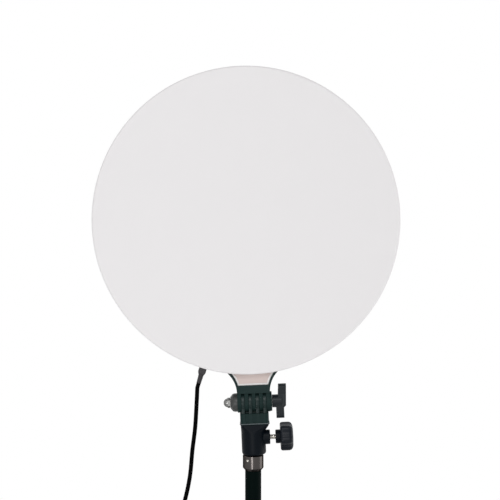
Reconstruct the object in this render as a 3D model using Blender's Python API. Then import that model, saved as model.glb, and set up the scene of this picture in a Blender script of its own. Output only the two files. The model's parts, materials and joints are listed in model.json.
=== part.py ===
"""LED soft light: a round opal panel on a comb-hinged tilt bracket, on a three-section light stand.

Metres, +Z up, the lit face looks along -Y. The origin is on the floor, in the middle of the stand's
footprint. Lengths below are written in millimetres and multiplied by MM.
"""

import math

import bmesh
import bpy
from mathutils import Matrix, Vector

MM = 0.001
FIT = 0.3 * MM  # clearance between pieces that touch
WELD = 0.002 * MM
SMOOTH_ANGLE = math.radians(35)

# Facets round each kind of turned piece. Pieces that nest have the same count.
DISC_STEPS = 48
TUBE_STEPS = 24
STUD_STEPS = 20
SMALL_STEPS = 10
LEG_STEPS = 16

# Stand: tubes
COLUMN_OD = 25 * MM
MID_OD = 22 * MM
TOP_OD = 19 * MM
TUBE_WALL = 1.2 * MM
COLUMN_LENGTH = 510 * MM
MID_LENGTH = 520 * MM
TOP_LENGTH = 550 * MM
MID_SHOWN = 32 * MM  # bare middle tube between the two clamps, as stored
TOP_SHOWN = 70 * MM  # bare top tube below the spigot's collar, as stored

# Stand: legs and struts
LEG_AZIMUTHS = (math.radians(90), math.radians(210), math.radians(330))
LEG_OD = 16 * MM
LEG_LENGTH = 430 * MM  # pivot to the centre of the foot's ball
LEG_SPREAD = math.radians(58)  # from straight down, legs open
LEG_PIVOT_R = 36 * MM
LEG_END_THICK = 7 * MM
LEG_END_HIGH = 18 * MM
LEG_TO_STRUT = 205 * MM  # leg pivot to the strut's rivet
STRUT_PIVOT_R = 22 * MM
STRUT_OPEN = math.radians(82)  # from straight up, legs open
STRUT_BAR = 2 * MM
STRUT_HIGH = 12 * MM
STRUT_GAP = 0.4 * MM  # bar to leg
PIN_R = 2 * MM
PIN_HEAD_R = 3.6 * MM
PIN_HEAD = 1.4 * MM
FOOT_R = 11 * MM
FOOT_SLEEVE = 26 * MM
FOOT_WALL = 1.8 * MM
FOOT_NECK = math.radians(-20)  # where the ball runs into the sleeve
FOOT_FLAT = 0.5 * MM  # how much of the ball the floor has worn flat
HUB_OD = 34 * MM
HUB_HIGH = 34 * MM
HUB_BELOW = 18 * MM  # hub pivot down to the column's end
HUB_FLOOR = 4 * MM
HUB_EDGE = 2 * MM
LUG_R = 5 * MM
COLLAR_OD = 37 * MM
COLLAR_HIGH = 36 * MM
EAR_THICK = 4 * MM
EAR_R = 7 * MM
EAR_DROP = 4 * MM  # from the collar's rims to the ears' roots
ROOT_SINK = 2 * MM  # how far an ear, lug or boss reaches into the wall that carries it
COLLAR_KNOB_AZIMUTH = math.radians(30)
STRUT_WEB = (0.15, 0.7)  # where the web starts and ends, as shares of the strut
STRUT_WEB_THICK = 1.4 * MM
RIVET_R = 4 * MM
RIVET_TOP_R = 2.6 * MM
RIVET_HIGH = 1.5 * MM

# Stand: clamps and their screw knobs
CLAMP_WALL = 4.6 * MM
CLAMP_GRIP = 30 * MM  # length on the tube that carries it
CLAMP_GUIDE = 22 * MM  # length round the tube that slides
CLAMP_LIP = 2 * MM
CLAMP_PLAIN = 9 * MM  # thinner lower end
CLAMP_SLOPE = 3 * MM
BOSS_R = 8.5 * MM
BOSS_OUT = 6.5 * MM
CLAMP_KNOB_R = 15 * MM
CLAMP_KNOB_THICK = 12 * MM
CLAMP_KNOB_OFF = 4 * MM  # knob's hub off the boss
CLAMP_HUB_LONG = 5 * MM
SCREW_R = 3 * MM
SOFT_EDGE = 1 * MM
FINE_EDGE = 0.6 * MM

# Spigot at the stand's top
SPIGOT_R = 8 * MM
SPIGOT_HIGH = 28 * MM
SPIGOT_TIP_R = 3.1 * MM
SPIGOT_TIP = 7 * MM
GROOVE_R = 6.9 * MM
GROOVE_HIGH = 10 * MM
SPIGOT_COLLAR_R = 12.2 * MM
SPIGOT_COLLAR = 14.8 * MM
SPIGOT_TAPER = 3.5 * MM
SPIGOT_PLUG = 30 * MM
GROOVE_SHARE = 0.45  # of the stud's height, up to the groove's middle
DIMPLE_R = 1.3 * MM
DIMPLE_DEEP = 1 * MM
DIMPLE_DROP = 5.2 * MM  # below the seat
DIMPLE_AZIMUTH = math.radians(-123)

# Bracket. Heights are from the tilt hinge's axis.
LEAN = math.radians(2.45)  # the loose socket lets the head lean on its spigot, towards -X
HEAD_SHIFT = 0.65 * MM  # the clamp screw draws the socket this far off the spigot's axis, to +X
HINGE_SHIFT = 2.2 * MM  # hinge's middle off the socket's axis, to +X
SOCKET_R = 14.2 * MM
SOCKET_BOTTOM = 61.5 * MM
SOCKET_SHOULDER = 36 * MM  # where the round socket starts
SOCKET_BORE = 37.5 * MM  # depth
SOCKET_EDGE = 3 * MM
HINGE_BASE_LOW = 23.5 * MM
HINGE_BASE_WIDE = 35 * MM
HINGE_BASE_DEEP = 27 * MM
HINGE_BASE_ROUND = 5 * MM
LEDGE_IN = 0.9 * MM  # small step under the hinge's block
SHOULDER_BLEND = 4 * MM
LEAF_R = 12.8 * MM
HIGH_LEAF_R = 12.4 * MM
LOW_LEAF = 3.6 * MM
HIGH_LEAF = 4.2 * MM
LOW_LEAVES = 4
LEAF_GAP = 0.35 * MM
VALLEY_HALF = 6 * MM  # half the depth of the hollowed ridge that each row of leaves turns over
BOLT_R = 3 * MM
KNOB_DROP = 42 * MM  # socket knob's axis below the hinge axis
SOCKET_BOSS_X = 19.6 * MM
SOCKET_KNOB_R = 16.8 * MM
SOCKET_KNOB_THICK = 15 * MM
SOCKET_KNOB_HUB_X = 26 * MM
SOCKET_KNOB_X = 31.6 * MM
KNOB_HUB_R = 8 * MM
KNOB_LOBES = 6
KNOB_LOBE_STEPS = 5
KNOB_TURN = math.radians(11)
LOBE_DEEP = 0.085  # of the knob's radius, for half the wave
LOBE_FLOOR = -0.55  # where the wave between two lobes is cut off flat

# Yoke
YOKE_DEEP = 24 * MM
YOKE_FACE_IN = 0.5 * MM  # its front face behind that of the leaves
YOKE_TOP = 20.6 * MM  # floor of the saddle
YOKE_HALF = 19.3 * MM
YOKE_ROOT = 13.6 * MM
FLARE_START = 12 * MM
FLARE_R = 33.5 * MM
FLARE_TOP = 37 * MM
SADDLE_WALL = 2.4 * MM
TONGUE_TOP = 78 * MM
TONGUE_WIDE = 40 * MM
TONGUE_THICK = 3.7 * MM
TONGUE_ROUND = 9 * MM
TONGUE_SCREW_X = 11 * MM
TONGUE_SCREW_Z = 60 * MM
NUT_BOSS_R = 10.8 * MM
NUT_BOSS_MID_R = 10.2 * MM
NUT_BOSS_END_R = 6.9 * MM
NUT_BOSS_STEP = 3.2 * MM
NUT_BOSS_CONE = 2.8 * MM  # length of its steep end
NUT_BOSS_X = 27.5 * MM
NUT_FLATS = 10.5 * MM
NUT_HEX = 3.5 * MM
NUT_LENGTH = 7.8 * MM
PAD_R = 11.5 * MM
PAD_OUT = 2.2 * MM
HANDLE_STEM_R = 7.6 * MM
HANDLE_X = 28.4 * MM
HANDLE_THICK = 9.2 * MM
HANDLE_LONG = 40.3 * MM
HANDLE_STEP = 2.4 * MM  # the lower arm stands this much nearer
HANDLE_NECK = 5 * MM  # from the axis to where each arm starts
HANDLE_FLARE = 1 * MM  # the upper arm's tip leans out by this
HANDLE_WIDE = 12 * MM
HANDLE_EDGE = 1.2 * MM
BOLT_INTO_HANDLE = 9 * MM
BOLT_INTO_NUT = 3 * MM

# Panel. Depths are along Y from the hinge's axis, the back is +Y.
PANEL_R = 180 * MM
PANEL_BASE = 34 * MM  # panel's lowest point above the hinge's axis
FRONT_Y = -18 * MM
DIFFUSER_THICK = 2.2 * MM
DIFFUSER_EDGE = 2.6 * MM
SKIRT_BACK_Y = -9 * MM
RIM_BACK_Y = 8 * MM
SHELL_WALL = 2.4 * MM
BULGE_R = 96 * MM
BULGE_RISE = 14 * MM
BULGE_EDGE = 4 * MM
RIM_ROUND = 7 * MM
NECK_FRONT_Y = -9 * MM
NECK_RIM = 2 * MM
NECK_RECESS = 0.8 * MM
NECK_TOP_X = 34 * MM  # where the neck's flare meets the round rim
NECK_SINK = 0.9 * MM
NECK_BAND = 3 * MM  # plain band above the neck's recess
VENT_SLOTS = 11
VENT_LONG = 20 * MM
LOW_VENT_LONG = 16 * MM
VENT_WIDE = 3 * MM
VENT_STEP = math.radians(7)
VENT_R = 74 * MM
LOW_VENT_SLOTS = 7
LOW_VENT_R = 77 * MM
BOARD_THICK = 1.6 * MM
BOARD_FRONT_Y = -2 * MM
LED_SIZE = 5 * MM
LED_HIGH = 1.2 * MM
LED_RING_R = (75 * MM, 135 * MM)
LED_RING_COUNT = (8, 12)
REFLECTOR_WALL = 1.5 * MM
DRIVER_SIZE = (84 * MM, 14 * MM, 56 * MM)
DRIVER_ROUND = 4 * MM
DRIVER_RISE = 47 * MM  # above the panel's centre
CONTROL_DROP = 45 * MM  # below it
CONTROL_WIDE = 92 * MM
CONTROL_HIGH = 36 * MM
CONTROL_THICK = 2 * MM
CONTROL_ROUND = 6 * MM
DIAL_X = 31 * MM
DIAL_R = 9.5 * MM
DIAL_HIGH = 13 * MM
DIAL_SHAFT_R = 3 * MM
DIAL_SHAFT = 12 * MM
DIAL_FLUTES = 12
DIAL_FLUTE = 0.94  # share of the radius in a flute
DIAL_MARK_WIDE = 1.4 * MM
DIAL_MARK_DEEP = 0.6 * MM
ROCKER_WIDE = 12 * MM
ROCKER_R = 9.4 * MM
ROCKER_THROW = math.radians(8)
ROCKER_TIP = math.radians(24)  # of its two edges, off the plate's plane
ROCKER_DIP = 2 * MM
ROCKER_DEEP = 4 * MM
ROCKER_BACK = 12 * MM
ROCKER_SINK = 1.2 * MM  # its pivot inside the plate's face
CASE_SCREW_R = 1.5 * MM
CASE_HEAD_R = 3.4 * MM
CASE_HEAD = 1.8 * MM
CASE_SHANK = 5 * MM

# Strain relief and cord
GLAND_ANGLE = math.radians(18.7)  # from straight down, towards -X
GLAND_Y = -3.6 * MM
GLAND_R = 4.6 * MM
GLAND_END_R = 3.8 * MM
GLAND_OUT = 9.5 * MM
SLEEVE_R = 3.1 * MM
SLEEVE_END_R = 2.7 * MM
SLEEVE_OUT = 20 * MM
GLAND_IN = 4.2 * MM
GLAND_NECK_R = 3.3 * MM
CORD_R = 2.5 * MM
CORD_STRAIGHT = 5 * MM
CORD_STEP = 15 * MM
FINE_STEPS = 24  # from one chosen point to the next, before the cord's own points are spaced
FLOOR_RUN = 24 * MM  # last stretch before the coil
# Hand-chosen route of the hanging lead: x and y from the stand's axis, z from the floor.
CORD_ROUTE = tuple(
    Vector(p) * MM
    for p in (
        (-66.6, -3.6, 850),
        (-68.3, -3.6, 822),
        (-71.6, -3.5, 795),
        (-74.3, -3.3, 766),
        (-80, -2.6, 738),
        (-91, -1, 700),
        (-107, 2, 650),
        (-121, 6, 590),
        (-133, 11, 520),
        (-143, 16, 440),
        (-151, 21, 360),
        (-158, 27, 280),
        (-164, 33, 200),
        (-169, 40, 125),
        (-177, 49, 62),
        (-191, 60, 20),
    )
)

# Coil of spare cord on the floor
COIL_X = -236 * MM
COIL_Y = 112 * MM
COIL_INNER_R = 22 * MM
COIL_PITCH = 6.4 * MM
COIL_LAYER = 5.7 * MM
COIL_TURNS = 2  # in each of two layers
COIL_CLIMB = 0.5  # turns, where the spiral reverses
COIL_START = math.radians(-100)
LOOP_STEPS = 24
TIE_THICK = 0.7 * MM
TIE_SLACK = 1 * MM  # beside the bundle, which bends inside the strap
TIE_WIDE = 10 * MM
TIE_ROUND = 3 * MM
TIE_AZIMUTH = math.radians(200)
TAIL_LONG = 24 * MM
PLUG_LONG = 38 * MM
PLUG_WIDE = 35 * MM
PLUG_NOSE = 15 * MM
PLUG_THICK = 13.6 * MM
PLUG_STEP = 3.4 * MM  # from the relief's end to the body's shoulder
PLUG_SQUARE = 12 * MM  # the full-width end
PLUG_RELIEF = 22 * MM
PLUG_RELIEF_R = 3.6 * MM
PLUG_PIN_R = 2 * MM
PLUG_PIN = 19 * MM
PLUG_PIN_APART = 18.6 * MM

DRILL = 60 * MM  # longer than any hole in the panel

# Worked out from the sizes above
PANEL_CENTRE = PANEL_R + PANEL_BASE  # above the hinge's axis
DRIVER_Z = PANEL_CENTRE + DRIVER_RISE
CONTROL_Z = PANEL_CENTRE - CONTROL_DROP
LEG_P_R = LEG_PIVOT_R + LEG_TO_STRUT * math.sin(LEG_SPREAD)
STRUT_LENGTH = (LEG_P_R - STRUT_PIVOT_R) / math.sin(STRUT_OPEN)
COLLAR_Z = LEG_LENGTH * math.cos(LEG_SPREAD) + FOOT_R - FOOT_FLAT
HUB_Z = COLLAR_Z - LEG_TO_STRUT * math.cos(LEG_SPREAD) - STRUT_LENGTH * math.cos(STRUT_OPEN)
COLUMN_BASE = HUB_Z - HUB_BELOW
COLUMN_TOP = COLUMN_BASE + COLUMN_LENGTH
LOWER_CLAMP_TOP = COLUMN_TOP + CLAMP_GUIDE
MID_TOP = LOWER_CLAMP_TOP + MID_SHOWN + CLAMP_GRIP
UPPER_CLAMP_TOP = MID_TOP + CLAMP_GUIDE
TOP_TOP = UPPER_CLAMP_TOP + TOP_SHOWN
SPIGOT_SEAT = TOP_TOP + SPIGOT_TAPER + SPIGOT_COLLAR
HINGE_ABOVE_SEAT = SOCKET_BOTTOM + FIT + SPIGOT_COLLAR_R * math.tan(LEAN)
LEAN_POINT = SPIGOT_SEAT + SPIGOT_HIGH / 2  # the head leans about the spigot's middle
HINGE_ABOVE_LEAN = SPIGOT_SEAT + HINGE_ABOVE_SEAT - LEAN_POINT
SOCKET_BORE_R = SPIGOT_R + HEAD_SHIFT + SPIGOT_HIGH / 2 * math.tan(LEAN) + FIT / 2
LEAF_PITCH = (LOW_LEAF + HIGH_LEAF) / 2 + LEAF_GAP
HINGE_BASE_TOP = HIGH_LEAF_R + 2 * FIT
HINGE_HALF = LOW_LEAVES * LEAF_PITCH + HIGH_LEAF / 2
FLARE_X = YOKE_HALF + FLARE_R  # centre of the flare's arc
NECK_SIDE_R = FLARE_R + SADDLE_WALL + FIT
NECK_BACK_Y = RIM_BACK_Y
BULGE_Y = RIM_BACK_Y + BULGE_RISE
SHELL_RIM_R = PANEL_R - 0.4 * MM
SHELL_LIP_R = PANEL_R - DIFFUSER_THICK - FIT
BOARD_R = SHELL_LIP_R - SHELL_WALL - FIT
COIL_OUTER_R = COIL_INNER_R + COIL_TURNS * COIL_PITCH
COIL_LOW_Z = CORD_R + TIE_THICK + FIT


def clear_scene():
    for obj in list(bpy.data.objects):
        bpy.data.objects.remove(obj, do_unlink=True)


def material(name, colour, roughness, metallic=0.0):
    made = bpy.data.materials.new(name)
    made.use_nodes = True
    shader = made.node_tree.nodes["Principled BSDF"]
    shader.inputs["Base Color"].default_value = (*colour, 1)
    shader.inputs["Roughness"].default_value = roughness
    shader.inputs["Metallic"].default_value = metallic
    made.diffuse_color = (*colour, 1)
    return made


def empty(name, location, parent=None, rotation=(0, 0, 0)):
    obj = bpy.data.objects.new(name, None)
    bpy.context.scene.collection.objects.link(obj)
    obj.location = location
    obj.rotation_euler = rotation
    obj.parent = parent
    return obj


def solid(name, shape, finish, parent=None, location=(0, 0, 0), rotation=(0, 0, 0)):
    """An object from a bmesh, which it frees, with its doubles welded and its faces out."""
    bmesh.ops.remove_doubles(shape, verts=shape.verts, dist=WELD)
    bmesh.ops.recalc_face_normals(shape, faces=shape.faces)
    mesh = bpy.data.meshes.new(name)
    shape.to_mesh(mesh)
    shape.free()
    mesh.shade_smooth()
    mesh.set_sharp_from_angle(angle=SMOOTH_ANGLE)
    obj = bpy.data.objects.new(name, mesh)
    bpy.context.scene.collection.objects.link(obj)
    obj.data.materials.append(finish)
    obj.location = location
    obj.rotation_euler = rotation
    obj.parent = parent
    return obj


def boolean(target, tool, operation):
    """Adds a Boolean to target. The tool object stays as a hidden helper."""
    step = target.modifiers.new(operation.lower(), "BOOLEAN")
    step.operation = operation
    step.solver = "EXACT"
    step.object = tool
    tool.hide_render = True
    tool.display_type = "WIRE"
    return target


def cut(target, tool):
    return boolean(target, tool, "DIFFERENCE")


def fuse(target, tool):
    return boolean(target, tool, "UNION")


def soften(obj, width, segments=1, angle=40):
    """A bevel on the edges sharper than angle, before any Boolean."""
    step = obj.modifiers.new("edges", "BEVEL")
    step.width = width
    step.segments = segments
    step.limit_method = "ANGLE"
    step.angle_limit = math.radians(angle)
    return obj


def turned_shape(profile, steps, closed=False):
    """A bmesh spun round Z from (radius, height) points: closed for a ring, or from axis to axis."""
    shape = bmesh.new()
    points = [shape.verts.new((r, 0, h)) for r, h in profile]
    edges = [shape.edges.new(pair) for pair in zip(points, points[1:])]
    if closed:
        edges.append(shape.edges.new((points[-1], points[0])))
    bmesh.ops.spin(
        shape, geom=points + edges, cent=(0, 0, 0), axis=(0, 0, 1), angle=2 * math.pi, steps=steps
    )
    bmesh.ops.remove_doubles(shape, verts=shape.verts, dist=WELD)
    bmesh.ops.dissolve_degenerate(shape, edges=shape.edges, dist=WELD)
    return shape


def add_turned(shape, profile, steps, matrix, closed=False):
    """Adds a spun body, placed by matrix, to a bmesh."""
    part = turned_shape(profile, steps, closed)
    bmesh.ops.recalc_face_normals(part, faces=part.faces)
    bmesh.ops.transform(part, matrix=matrix, verts=part.verts)
    mesh = bpy.data.meshes.new("helper")
    part.to_mesh(mesh)
    part.free()
    shape.from_mesh(mesh)
    bpy.data.meshes.remove(mesh)


def rod_profile(radius, low, high, edge=0.0):
    """A plain cylinder's half outline, with its two rims chamfered by edge."""
    if not edge:
        return ((0, low), (radius, low), (radius, high), (0, high))
    return (
        (0, low),
        (radius - edge, low),
        (radius, low + edge),
        (radius, high - edge),
        (radius - edge, high),
        (0, high),
    )


def ring_profile(outer, inner, low, high, edge=0.0):
    """A sleeve's cross-section."""
    if not edge:
        return ((inner, low), (outer, low), (outer, high), (inner, high))
    return (
        (inner, low),
        (outer - edge, low),
        (outer, low + edge),
        (outer, high - edge),
        (outer - edge, high),
        (inner, high),
    )


def add_prism(shape, outline, axis, low, high):
    """Adds an outline, extruded along an axis from low to high, to a bmesh.

    The outline's two numbers run along the other two axes, in X, Y, Z order.
    """
    place = {
        "X": lambda a, b, d: (d, a, b),
        "Y": lambda a, b, d: (a, d, b),
        "Z": lambda a, b, d: (a, b, d),
    }[axis]
    face = shape.faces.new([shape.verts.new(place(a, b, low)) for a, b in outline])
    grown = bmesh.ops.extrude_face_region(shape, geom=[face])
    along = Vector(place(0, 0, high - low))
    tops = [v for v in grown["geom"] if isinstance(v, bmesh.types.BMVert)]
    bmesh.ops.translate(shape, vec=along, verts=tops)


def prism(outline, axis, low, high):
    shape = bmesh.new()
    add_prism(shape, outline, axis, low, high)
    return shape


def box_outline(half_a, half_b, centre_a=0.0, centre_b=0.0):
    return [
        (centre_a + sa * half_a, centre_b + sb * half_b)
        for sa, sb in ((-1, -1), (1, -1), (1, 1), (-1, 1))
    ]


def arc(centre, radius, start, end, steps):
    """Points along an arc, both ends included."""
    return [
        (
            centre[0] + radius * math.cos(start + (end - start) * i / steps),
            centre[1] + radius * math.sin(start + (end - start) * i / steps),
        )
        for i in range(steps + 1)
    ]


def rounded_box(half_a, half_b, radius, steps=4):
    """A rectangle's outline with round corners."""
    points = []
    for i, (sa, sb) in enumerate(((1, 1), (-1, 1), (-1, -1), (1, -1))):
        centre = (sa * (half_a - radius), sb * (half_b - radius))
        points += arc(centre, radius, i * math.pi / 2, (i + 1) * math.pi / 2, steps)
    return points


def loft(sections):
    """A bmesh skinned over rings of equally many points, with flat ends."""
    shape = bmesh.new()
    rings = [[shape.verts.new(p) for p in section] for section in sections]
    count = len(rings[0])
    for low, high in zip(rings, rings[1:]):
        for i in range(count):
            j = (i + 1) % count
            shape.faces.new((low[i], low[j], high[j], high[i]))
    shape.faces.new(rings[0])
    shape.faces.new(rings[-1])
    return shape


def along_x(low_first=True):
    """Turns a body built along Z to lie along +X, or -X."""
    return Matrix.Rotation(math.pi / 2 if low_first else -math.pi / 2, 4, "Y")


def along_y():
    """Turns a body built along Z to lie along -Y."""
    return Matrix.Rotation(math.pi / 2, 4, "X")


# Finishes


def make_finishes():
    return {
        "stand_black": material("stand_black", (0.012, 0.015, 0.015), 0.38, 0.3),
        "bracket_plastic": material("bracket_plastic", (0.016, 0.026, 0.027), 0.42),
        "knob_plastic": material("knob_plastic", (0.012, 0.013, 0.015), 0.35),
        "nickel": material("nickel", (0.62, 0.6, 0.56), 0.22, 1.0),
        "shell_white": material("shell_white", (0.62, 0.57, 0.55), 0.45),
        "opal": material("opal", (0.79, 0.77, 0.775), 0.5),
        "rubber": material("rubber", (0.02, 0.02, 0.02), 0.8),
        "board": material("board", (0.8, 0.8, 0.78), 0.5),
        "cord_black": material("cord_black", (0.01, 0.01, 0.01), 0.5),
    }


# Stand


def screw_knob(name, finish, parent, location, rotation, hub_x, body_x, reach_x, radius, thick):
    """A lobed clamp knob with its screw, along the parent's +X, its origin on its own axis."""
    count = KNOB_LOBES * KNOB_LOBE_STEPS
    rings = []
    for x, share in (
        (body_x, 0.93),
        (body_x + 0.12 * thick, 1.0),
        (body_x + 0.7 * thick, 1.0),
        (body_x + thick, 0.7),
    ):
        ring = []
        for i in range(count):
            turn = 2 * math.pi * i / count
            wave = max(math.cos(KNOB_LOBES * turn), LOBE_FLOOR)
            r = share * radius * (1 - LOBE_DEEP * (1 - wave))
            ring.append((x, r * math.cos(turn + KNOB_TURN), r * math.sin(turn + KNOB_TURN)))
        rings.append(ring)
    knob = solid(name, loft(rings), finish, parent, location, rotation)
    hub_r = KNOB_HUB_R * radius / SOCKET_KNOB_R
    hub = turned_shape(rod_profile(hub_r, hub_x, body_x + thick / 4, SOFT_EDGE), 12)
    bmesh.ops.transform(hub, matrix=along_x(), verts=hub.verts)
    screw = turned_shape(rod_profile(SCREW_R, reach_x, body_x), SMALL_STEPS)
    bmesh.ops.transform(screw, matrix=along_x(), verts=screw.verts)
    fuse(knob, solid(name + "_hub_tool", hub, finish, parent, location, rotation))
    return knob, solid(name + "_screw_tool", screw, finish, parent, location, rotation)


def tube(name, finish, parent, outer, length, top):
    """A round tube hanging down from its top."""
    profile = ring_profile(outer / 2, outer / 2 - TUBE_WALL, -length, 0)
    return solid(name, turned_shape(profile, TUBE_STEPS, closed=True), finish, parent, (0, 0, top))


def clamp(name, finish, parent, carried_od, sliding_od, top):
    """The sleeve that grips one tube's top and clamps the next, with its screw boss on +X."""
    outer = carried_od / 2 + CLAMP_WALL
    low, high = -CLAMP_GUIDE - CLAMP_GRIP, 0
    step = -CLAMP_GUIDE
    profile = (
        (carried_od / 2 + FIT, low),
        (outer, low),
        (outer, low + CLAMP_PLAIN),
        (outer + CLAMP_LIP, low + CLAMP_PLAIN + CLAMP_SLOPE),
        (outer + CLAMP_LIP, high - CLAMP_SLOPE),
        (outer, high),
        (sliding_od / 2 + FIT, high),
        (sliding_od / 2 + FIT, step + FIT),
        (carried_od / 2 + FIT, step + FIT),
    )
    body = solid(name, turned_shape(profile, TUBE_STEPS, closed=True), finish, parent, (0, 0, top))
    boss = turned_shape(
        rod_profile(BOSS_R, sliding_od / 2 + ROOT_SINK, outer + BOSS_OUT, SOFT_EDGE), 16
    )
    bmesh.ops.transform(boss, matrix=along_x(), verts=boss.verts)
    fuse(body, solid(name + "_boss_tool", boss, finish, parent, (0, 0, top - CLAMP_GUIDE / 2)))
    hole = turned_shape(rod_profile(SCREW_R + FIT, 0, outer + 2 * BOSS_OUT), SMALL_STEPS)
    bmesh.ops.transform(hole, matrix=along_x(), verts=hole.verts)
    cut(body, solid(name + "_hole_tool", hole, finish, parent, (0, 0, top - CLAMP_GUIDE / 2)))
    return body


def clamp_knob(name, finish, parent, carried_od, sliding_od, top):
    """The clamp's knob and screw in one piece, its tip just off the tube it clamps."""
    hub = carried_od / 2 + CLAMP_WALL + BOSS_OUT + CLAMP_KNOB_OFF
    place = (0, 0, top - CLAMP_GUIDE / 2)
    knob, screw = screw_knob(
        name, finish, parent, place, (0, 0, 0), hub, hub + CLAMP_HUB_LONG,
        sliding_od / 2 + FIT, CLAMP_KNOB_R, CLAMP_KNOB_THICK,
    )
    return fuse(knob, screw)


def strut_hub(finish, root):
    """The fixed hub on the column's end: a closed cup with one wide lug for each strut."""
    low = -HUB_BELOW - HUB_FLOOR
    high = low + HUB_HIGH
    profile = (
        (0, low),
        (HUB_OD / 2 - HUB_EDGE, low),
        (HUB_OD / 2, low + HUB_EDGE),
        (HUB_OD / 2, high - HUB_EDGE),
        (HUB_OD / 2 - HUB_EDGE, high),
        (COLUMN_OD / 2 + FIT, high),
        (COLUMN_OD / 2 + FIT, -HUB_BELOW - FIT),
        (0, -HUB_BELOW - FIT),
    )
    hub = solid("strut_hub", turned_shape(profile, TUBE_STEPS), finish, root, (0, 0, HUB_Z))
    lugs, holes = bmesh.new(), bmesh.new()
    for azimuth in LEG_AZIMUTHS:
        turn = Matrix.Rotation(azimuth, 4, "Z")
        start = len(lugs.verts)
        outline = [(COLUMN_OD / 2 + ROOT_SINK, -LUG_R)]
        outline += arc((STRUT_PIVOT_R, 0), LUG_R, -math.pi / 2, math.pi / 2, 6)
        outline += [(COLUMN_OD / 2 + ROOT_SINK, LUG_R)]
        add_prism(lugs, outline, "Y", -LEG_OD / 2, LEG_OD / 2)
        lugs.verts.ensure_lookup_table()
        bmesh.ops.transform(lugs, matrix=turn, verts=lugs.verts[start:])
        through = turn @ Matrix.Translation((STRUT_PIVOT_R, 0, 0)) @ along_y()
        add_turned(holes, rod_profile(PIN_R + FIT, -LEG_OD, LEG_OD), SMALL_STEPS, through)
    fuse(hub, solid("hub_lug_tool", lugs, finish, root, (0, 0, HUB_Z)))
    return cut(hub, solid("hub_hole_tool", holes, finish, root, (0, 0, HUB_Z)))


def leg_collar(finish, parent):
    """The sliding collar: a sleeve with a fork of two ears for each leg, and a screw boss."""
    half = COLLAR_HIGH / 2
    profile = ring_profile(COLLAR_OD / 2, COLUMN_OD / 2 + FIT, -half, half, 1.5 * MM)
    collar = solid("leg_collar", turned_shape(profile, TUBE_STEPS, closed=True), finish, parent)
    ears, holes = bmesh.new(), bmesh.new()
    inner = LEG_END_THICK / 2 + FIT
    for azimuth in LEG_AZIMUTHS:
        turn = Matrix.Rotation(azimuth, 4, "Z")
        for side in (-1, 1):
            start = len(ears.verts)
            outline = [(COLUMN_OD / 2 + ROOT_SINK, -half + EAR_DROP)]
            outline += arc((LEG_PIVOT_R, 0), EAR_R, -math.pi / 2, math.pi / 2, 6)
            outline += [(COLUMN_OD / 2 + ROOT_SINK, half - EAR_DROP)]
            low, high = sorted((side * inner, side * (inner + EAR_THICK)))
            add_prism(ears, outline, "Y", low, high)
            ears.verts.ensure_lookup_table()
            bmesh.ops.transform(ears, matrix=turn, verts=ears.verts[start:])
        through = turn @ Matrix.Translation((LEG_PIVOT_R, 0, 0)) @ along_y()
        add_turned(holes, rod_profile(PIN_R + FIT, -LEG_OD, LEG_OD), SMALL_STEPS, through)
    boss = Matrix.Rotation(COLLAR_KNOB_AZIMUTH, 4, "Z") @ along_x()
    outer = COLLAR_OD / 2 + BOSS_OUT
    add_turned(ears, rod_profile(BOSS_R, COLUMN_OD / 2 + ROOT_SINK, outer, SOFT_EDGE), 16, boss)
    add_turned(holes, rod_profile(SCREW_R + FIT, 0, outer + BOSS_OUT), SMALL_STEPS, boss)
    fuse(collar, solid("collar_ear_tool", ears, finish, parent))
    return cut(collar, solid("collar_hole_tool", holes, finish, parent))


def pin(name, finish, parent, half_length):
    """A headed pin along the parent's Y, through its origin."""
    profile = (
        (0, -half_length - PIN_HEAD),
        (PIN_HEAD_R - 0.5 * MM, -half_length - PIN_HEAD),
        (PIN_HEAD_R, -half_length),
        (PIN_R, -half_length),
        (PIN_R, half_length),
        (PIN_HEAD_R, half_length),
        (PIN_HEAD_R - 0.5 * MM, half_length + PIN_HEAD),
        (0, half_length + PIN_HEAD),
    )
    return solid(name, turned_shape(profile, 10), finish, parent, rotation=(math.pi / 2, 0, 0))


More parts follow.
